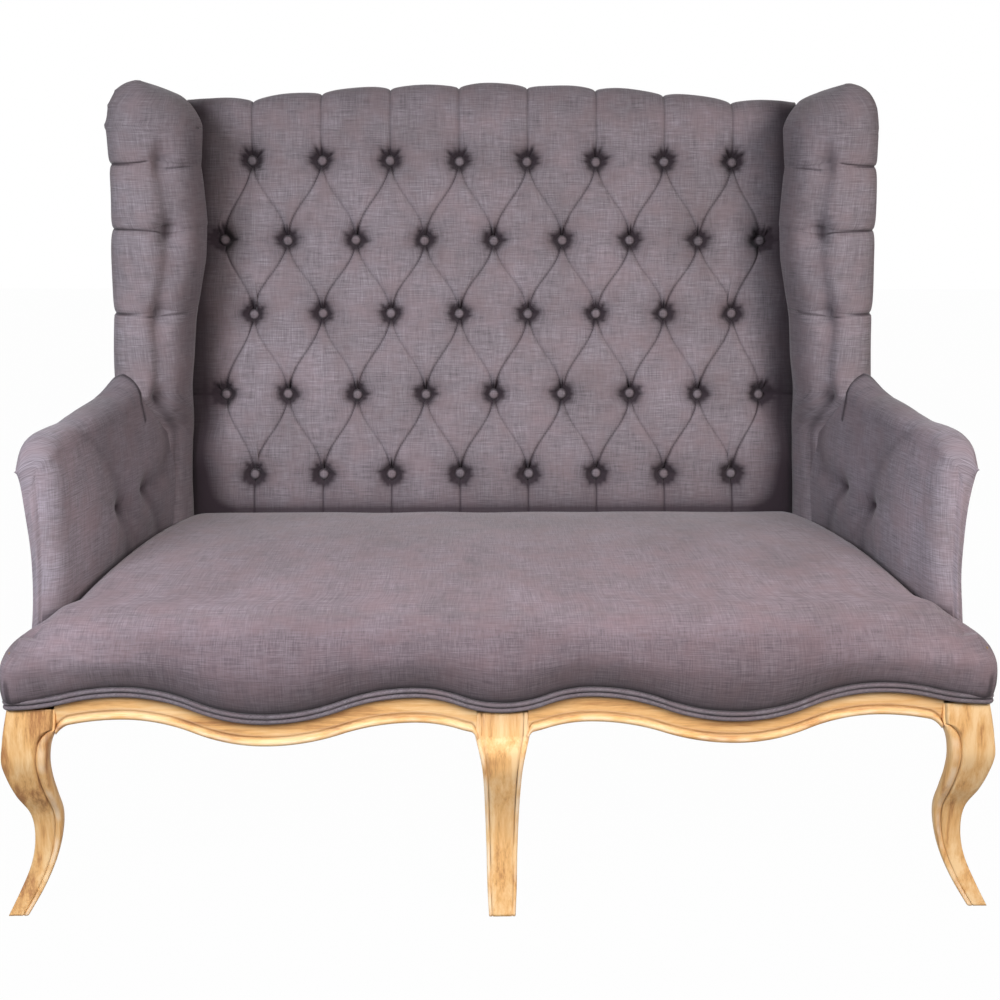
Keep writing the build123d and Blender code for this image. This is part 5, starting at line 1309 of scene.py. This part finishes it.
# ---- flat cloths ----------------------------------------------------------------------------
def outside_back():
    """The plain outside back, drawn tight over the frame and blind-stitched at its edges."""
    low = slope_v(0.345)
    across = np.linspace(-1, 1, 141)
    u = across * WING_HALF
    inner = crest_v(np.minimum(np.abs(u), BACK_HALF)) - 0.003
    # past the crest its top edge meets the rear edge of the wing's dome
    dome = np.array([row[:3] for row in wing_rows() if row[0] >= WING_DOME])[::-1]
    z = wing_height(dome[:, 0], back_y(dome[:, 0], FRAME_REAR))
    past = part(np.abs(u) - BACK_HALF, RIDGE - BACK_HALF)
    top = inner + (np.interp(np.abs(u), dome[:, 2], slope_v(z, FRAME_REAR)) - inner) * past
    T, A = np.meshgrid(np.linspace(0, 1, 121), across, indexing="ij")
    foot_half = REAR_HALF - 0.002
    U = A * (foot_half + (WING_HALF - foot_half) * T)
    V = low + (top[None] - low) * T
    edge = np.minimum(np.minimum(1 - np.abs(A), T * 1.6), (1 - T) * 1.6)
    round_off = np.sqrt(1 - (1 - part(edge, 0.03)) ** 2)
    n = FRAME_REAR - COVER_T * round_off - 0.003 * part(edge, 0.3)
    points = on_back(U, V, n)
    points = points - 0.0006 * pucker(points, 91, 0.2)[..., None] * BACK_N
    stitch = bell(edge - 0.02, 0.004) * 0.35
    piece = cloth_mesh("outside_back", points[:, ::-1], np.stack((U, V), -1)[:, ::-1],
                       stitch[:, ::-1])
    fitted(piece, cut_linen, "linen", "outside_back_cover")


def dust_cloth_sheet():
    """Thin black cloth tacked under the rails, sagging a little between them."""
    low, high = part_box("dust_cover")
    y = np.linspace(low.y, high.y, 60)
    across = np.linspace(-1, 1, 120)
    Y, A = np.meshgrid(y, across, indexing="ij")
    X = A * side_x(Y, 0.03)
    t = (Y - low.y) / (high.y - low.y)
    sag = 0.004 * (1 - A ** 4) * 4 * t * (1 - t)
    points = np.stack((X, Y, low.z - sag), -1)
    piece = cloth_mesh("dust_cloth_sheet", points[::-1], np.stack((X, Y), -1)[::-1])
    fitted(piece, dust_cloth, "dust_cloth", "dust_cover")


tufted_back()
for hand in (-1, 1):
    show_rail(hand)
    show_leg(hand)
centre_leg()
tufting_buttons()
for hand in (-1, 1):
    wing(hand)
    arm(hand)
seat()
lower_lift = WELT_D / 2 + WELT_GAP
welt_cord("lower_welt", "welt_lower_cord", lower_lift, 81)
welt_cord("upper_welt", "welt_upper_cord", lower_lift + WELT_D + WELT_GAP, 82)
outside_back()
dust_cloth_sheet()


# ---- floor, lights and camera ---------------------------------------------------------------
FLOOR_HALF = 9.0
FLOOR_WHITE = 0.985     # share of the floor that is plain white; the rest takes the shadow
SKY_LIGHT = 0.07        # strength of the white surroundings on the settee
LAMP_SPREAD = radians(100)
# name, place, what it points at, size, power, tint
LAMPS = (("left", (-1.3, -1.5, 1.6), (0, -0.2, 0.45), (0.8, 0.8), 14, (0.95, 0.99, 1.05)),
         ("right", (1.3, -1.5, 1.6), (0, -0.2, 0.45), (0.8, 0.8), 11, (1.05, 0.985, 0.96)),
         ("top", (0.0, -1.7, 2.9), (0, -0.25, 0.42), (1.4, 0.8), 3, (1.0, 1.0, 1.0)))
CAMERA_PLACE = (-0.05496, -2.3108, 1.1235)
CAMERA_TURN = (radians(1.507), radians(14.307), radians(0.196))     # yaw, pitch, roll
CAMERA_LENS = 50.07


def seen_white(nodes, shader, white, share, output):
    """Turns a surface white to the camera and to mirrors, for that share of its light."""
    camera_ray, mirror_ray = [nodes.node("ShaderNodeLightPath", out=f"Is {kind} Ray")
                              for kind in ("Camera", "Glossy")]
    mixed = nodes.node("ShaderNodeMixShader", {},
                       {0: (camera_ray + mirror_ray) * share, 1: shader, 2: white})
    nodes.give(nodes.tree.nodes[output].inputs[0], mixed)


def floor():
    """Plain pale floor that the camera sees as white, with the settee's shadow kept."""
    mesh = bpy.data.meshes.new("floor")
    far = FLOOR_HALF
    mesh.from_pydata([(-far, -far, 0), (far, -far, 0), (far, far, 0), (-far, far, 0)], [],
                     [(0, 1, 2, 3)])
    ground = bpy.data.objects.new("floor", mesh)
    bpy.context.scene.collection.objects.link(ground)
    pale = Finish("pale_floor", Roughness=0.8, Base_Color=(0.3, 0.3, 0.3, 1.0))
    glow = pale.node("ShaderNodeEmission", {}, {"Color": (1, 1, 1, 1), "Strength": 1.0})
    seen_white(pale, Value(pale, pale.shader.outputs[0]), glow, FLOOR_WHITE, "Material Output")
    mesh.materials.append(pale.material)


def lamp(name, place, aim, size, power, tint):
    light = bpy.data.lights.new(name, "AREA")
    light.shape = "RECTANGLE"
    light.size, light.size_y = size
    light.energy = power
    light.color = tint
    light.spread = LAMP_SPREAD
    holder = bpy.data.objects.new(name, light)
    holder.location = place
    holder.rotation_euler = (Vector(aim) - Vector(place)).to_track_quat("-Z", "Y").to_euler()
    bpy.context.scene.collection.objects.link(holder)


def surroundings():
    """Plain white all round, which lights the settee only a little."""
    world = bpy.data.worlds.new("studio")
    bpy.context.scene.world = world
    world.use_nodes = True
    sky = Nodes(world.node_tree)
    glow = world.node_tree.nodes["Background"]
    glow.inputs["Color"].default_value = (1, 1, 1, 1)
    glow.inputs["Strength"].default_value = SKY_LIGHT
    white = sky.node("ShaderNodeBackground", {}, {"Color": (1, 1, 1, 1), "Strength": 1.0})
    seen_white(sky, Value(sky, glow.outputs[0]), white, 1.0, "World Output")


def camera():
    """The photograph's viewpoint: place and angles fitted to it."""
    view = bpy.data.cameras.new("view")
    view.sensor_width = 36.0
    view.lens = CAMERA_LENS
    yaw, pitch, roll = CAMERA_TURN
    ahead = Vector((sin(yaw) * cos(pitch), cos(yaw) * cos(pitch), -sin(pitch)))
    right = Vector((cos(yaw), -sin(yaw), 0))
    up = right.cross(ahead)
    across = cos(roll) * right + sin(roll) * up
    above = cos(roll) * up - sin(roll) * right
    turn = Matrix((across, above, -ahead)).transposed().to_4x4()
    holder = bpy.data.objects.new("view", view)
    holder.matrix_world = Matrix.Translation(CAMERA_PLACE) @ turn
    bpy.context.scene.collection.objects.link(holder)
    bpy.context.scene.camera = holder


floor()
surroundings()
for row in LAMPS:
    lamp(*row)
camera()
bpy.context.scene.view_settings.view_transform = "Standard"
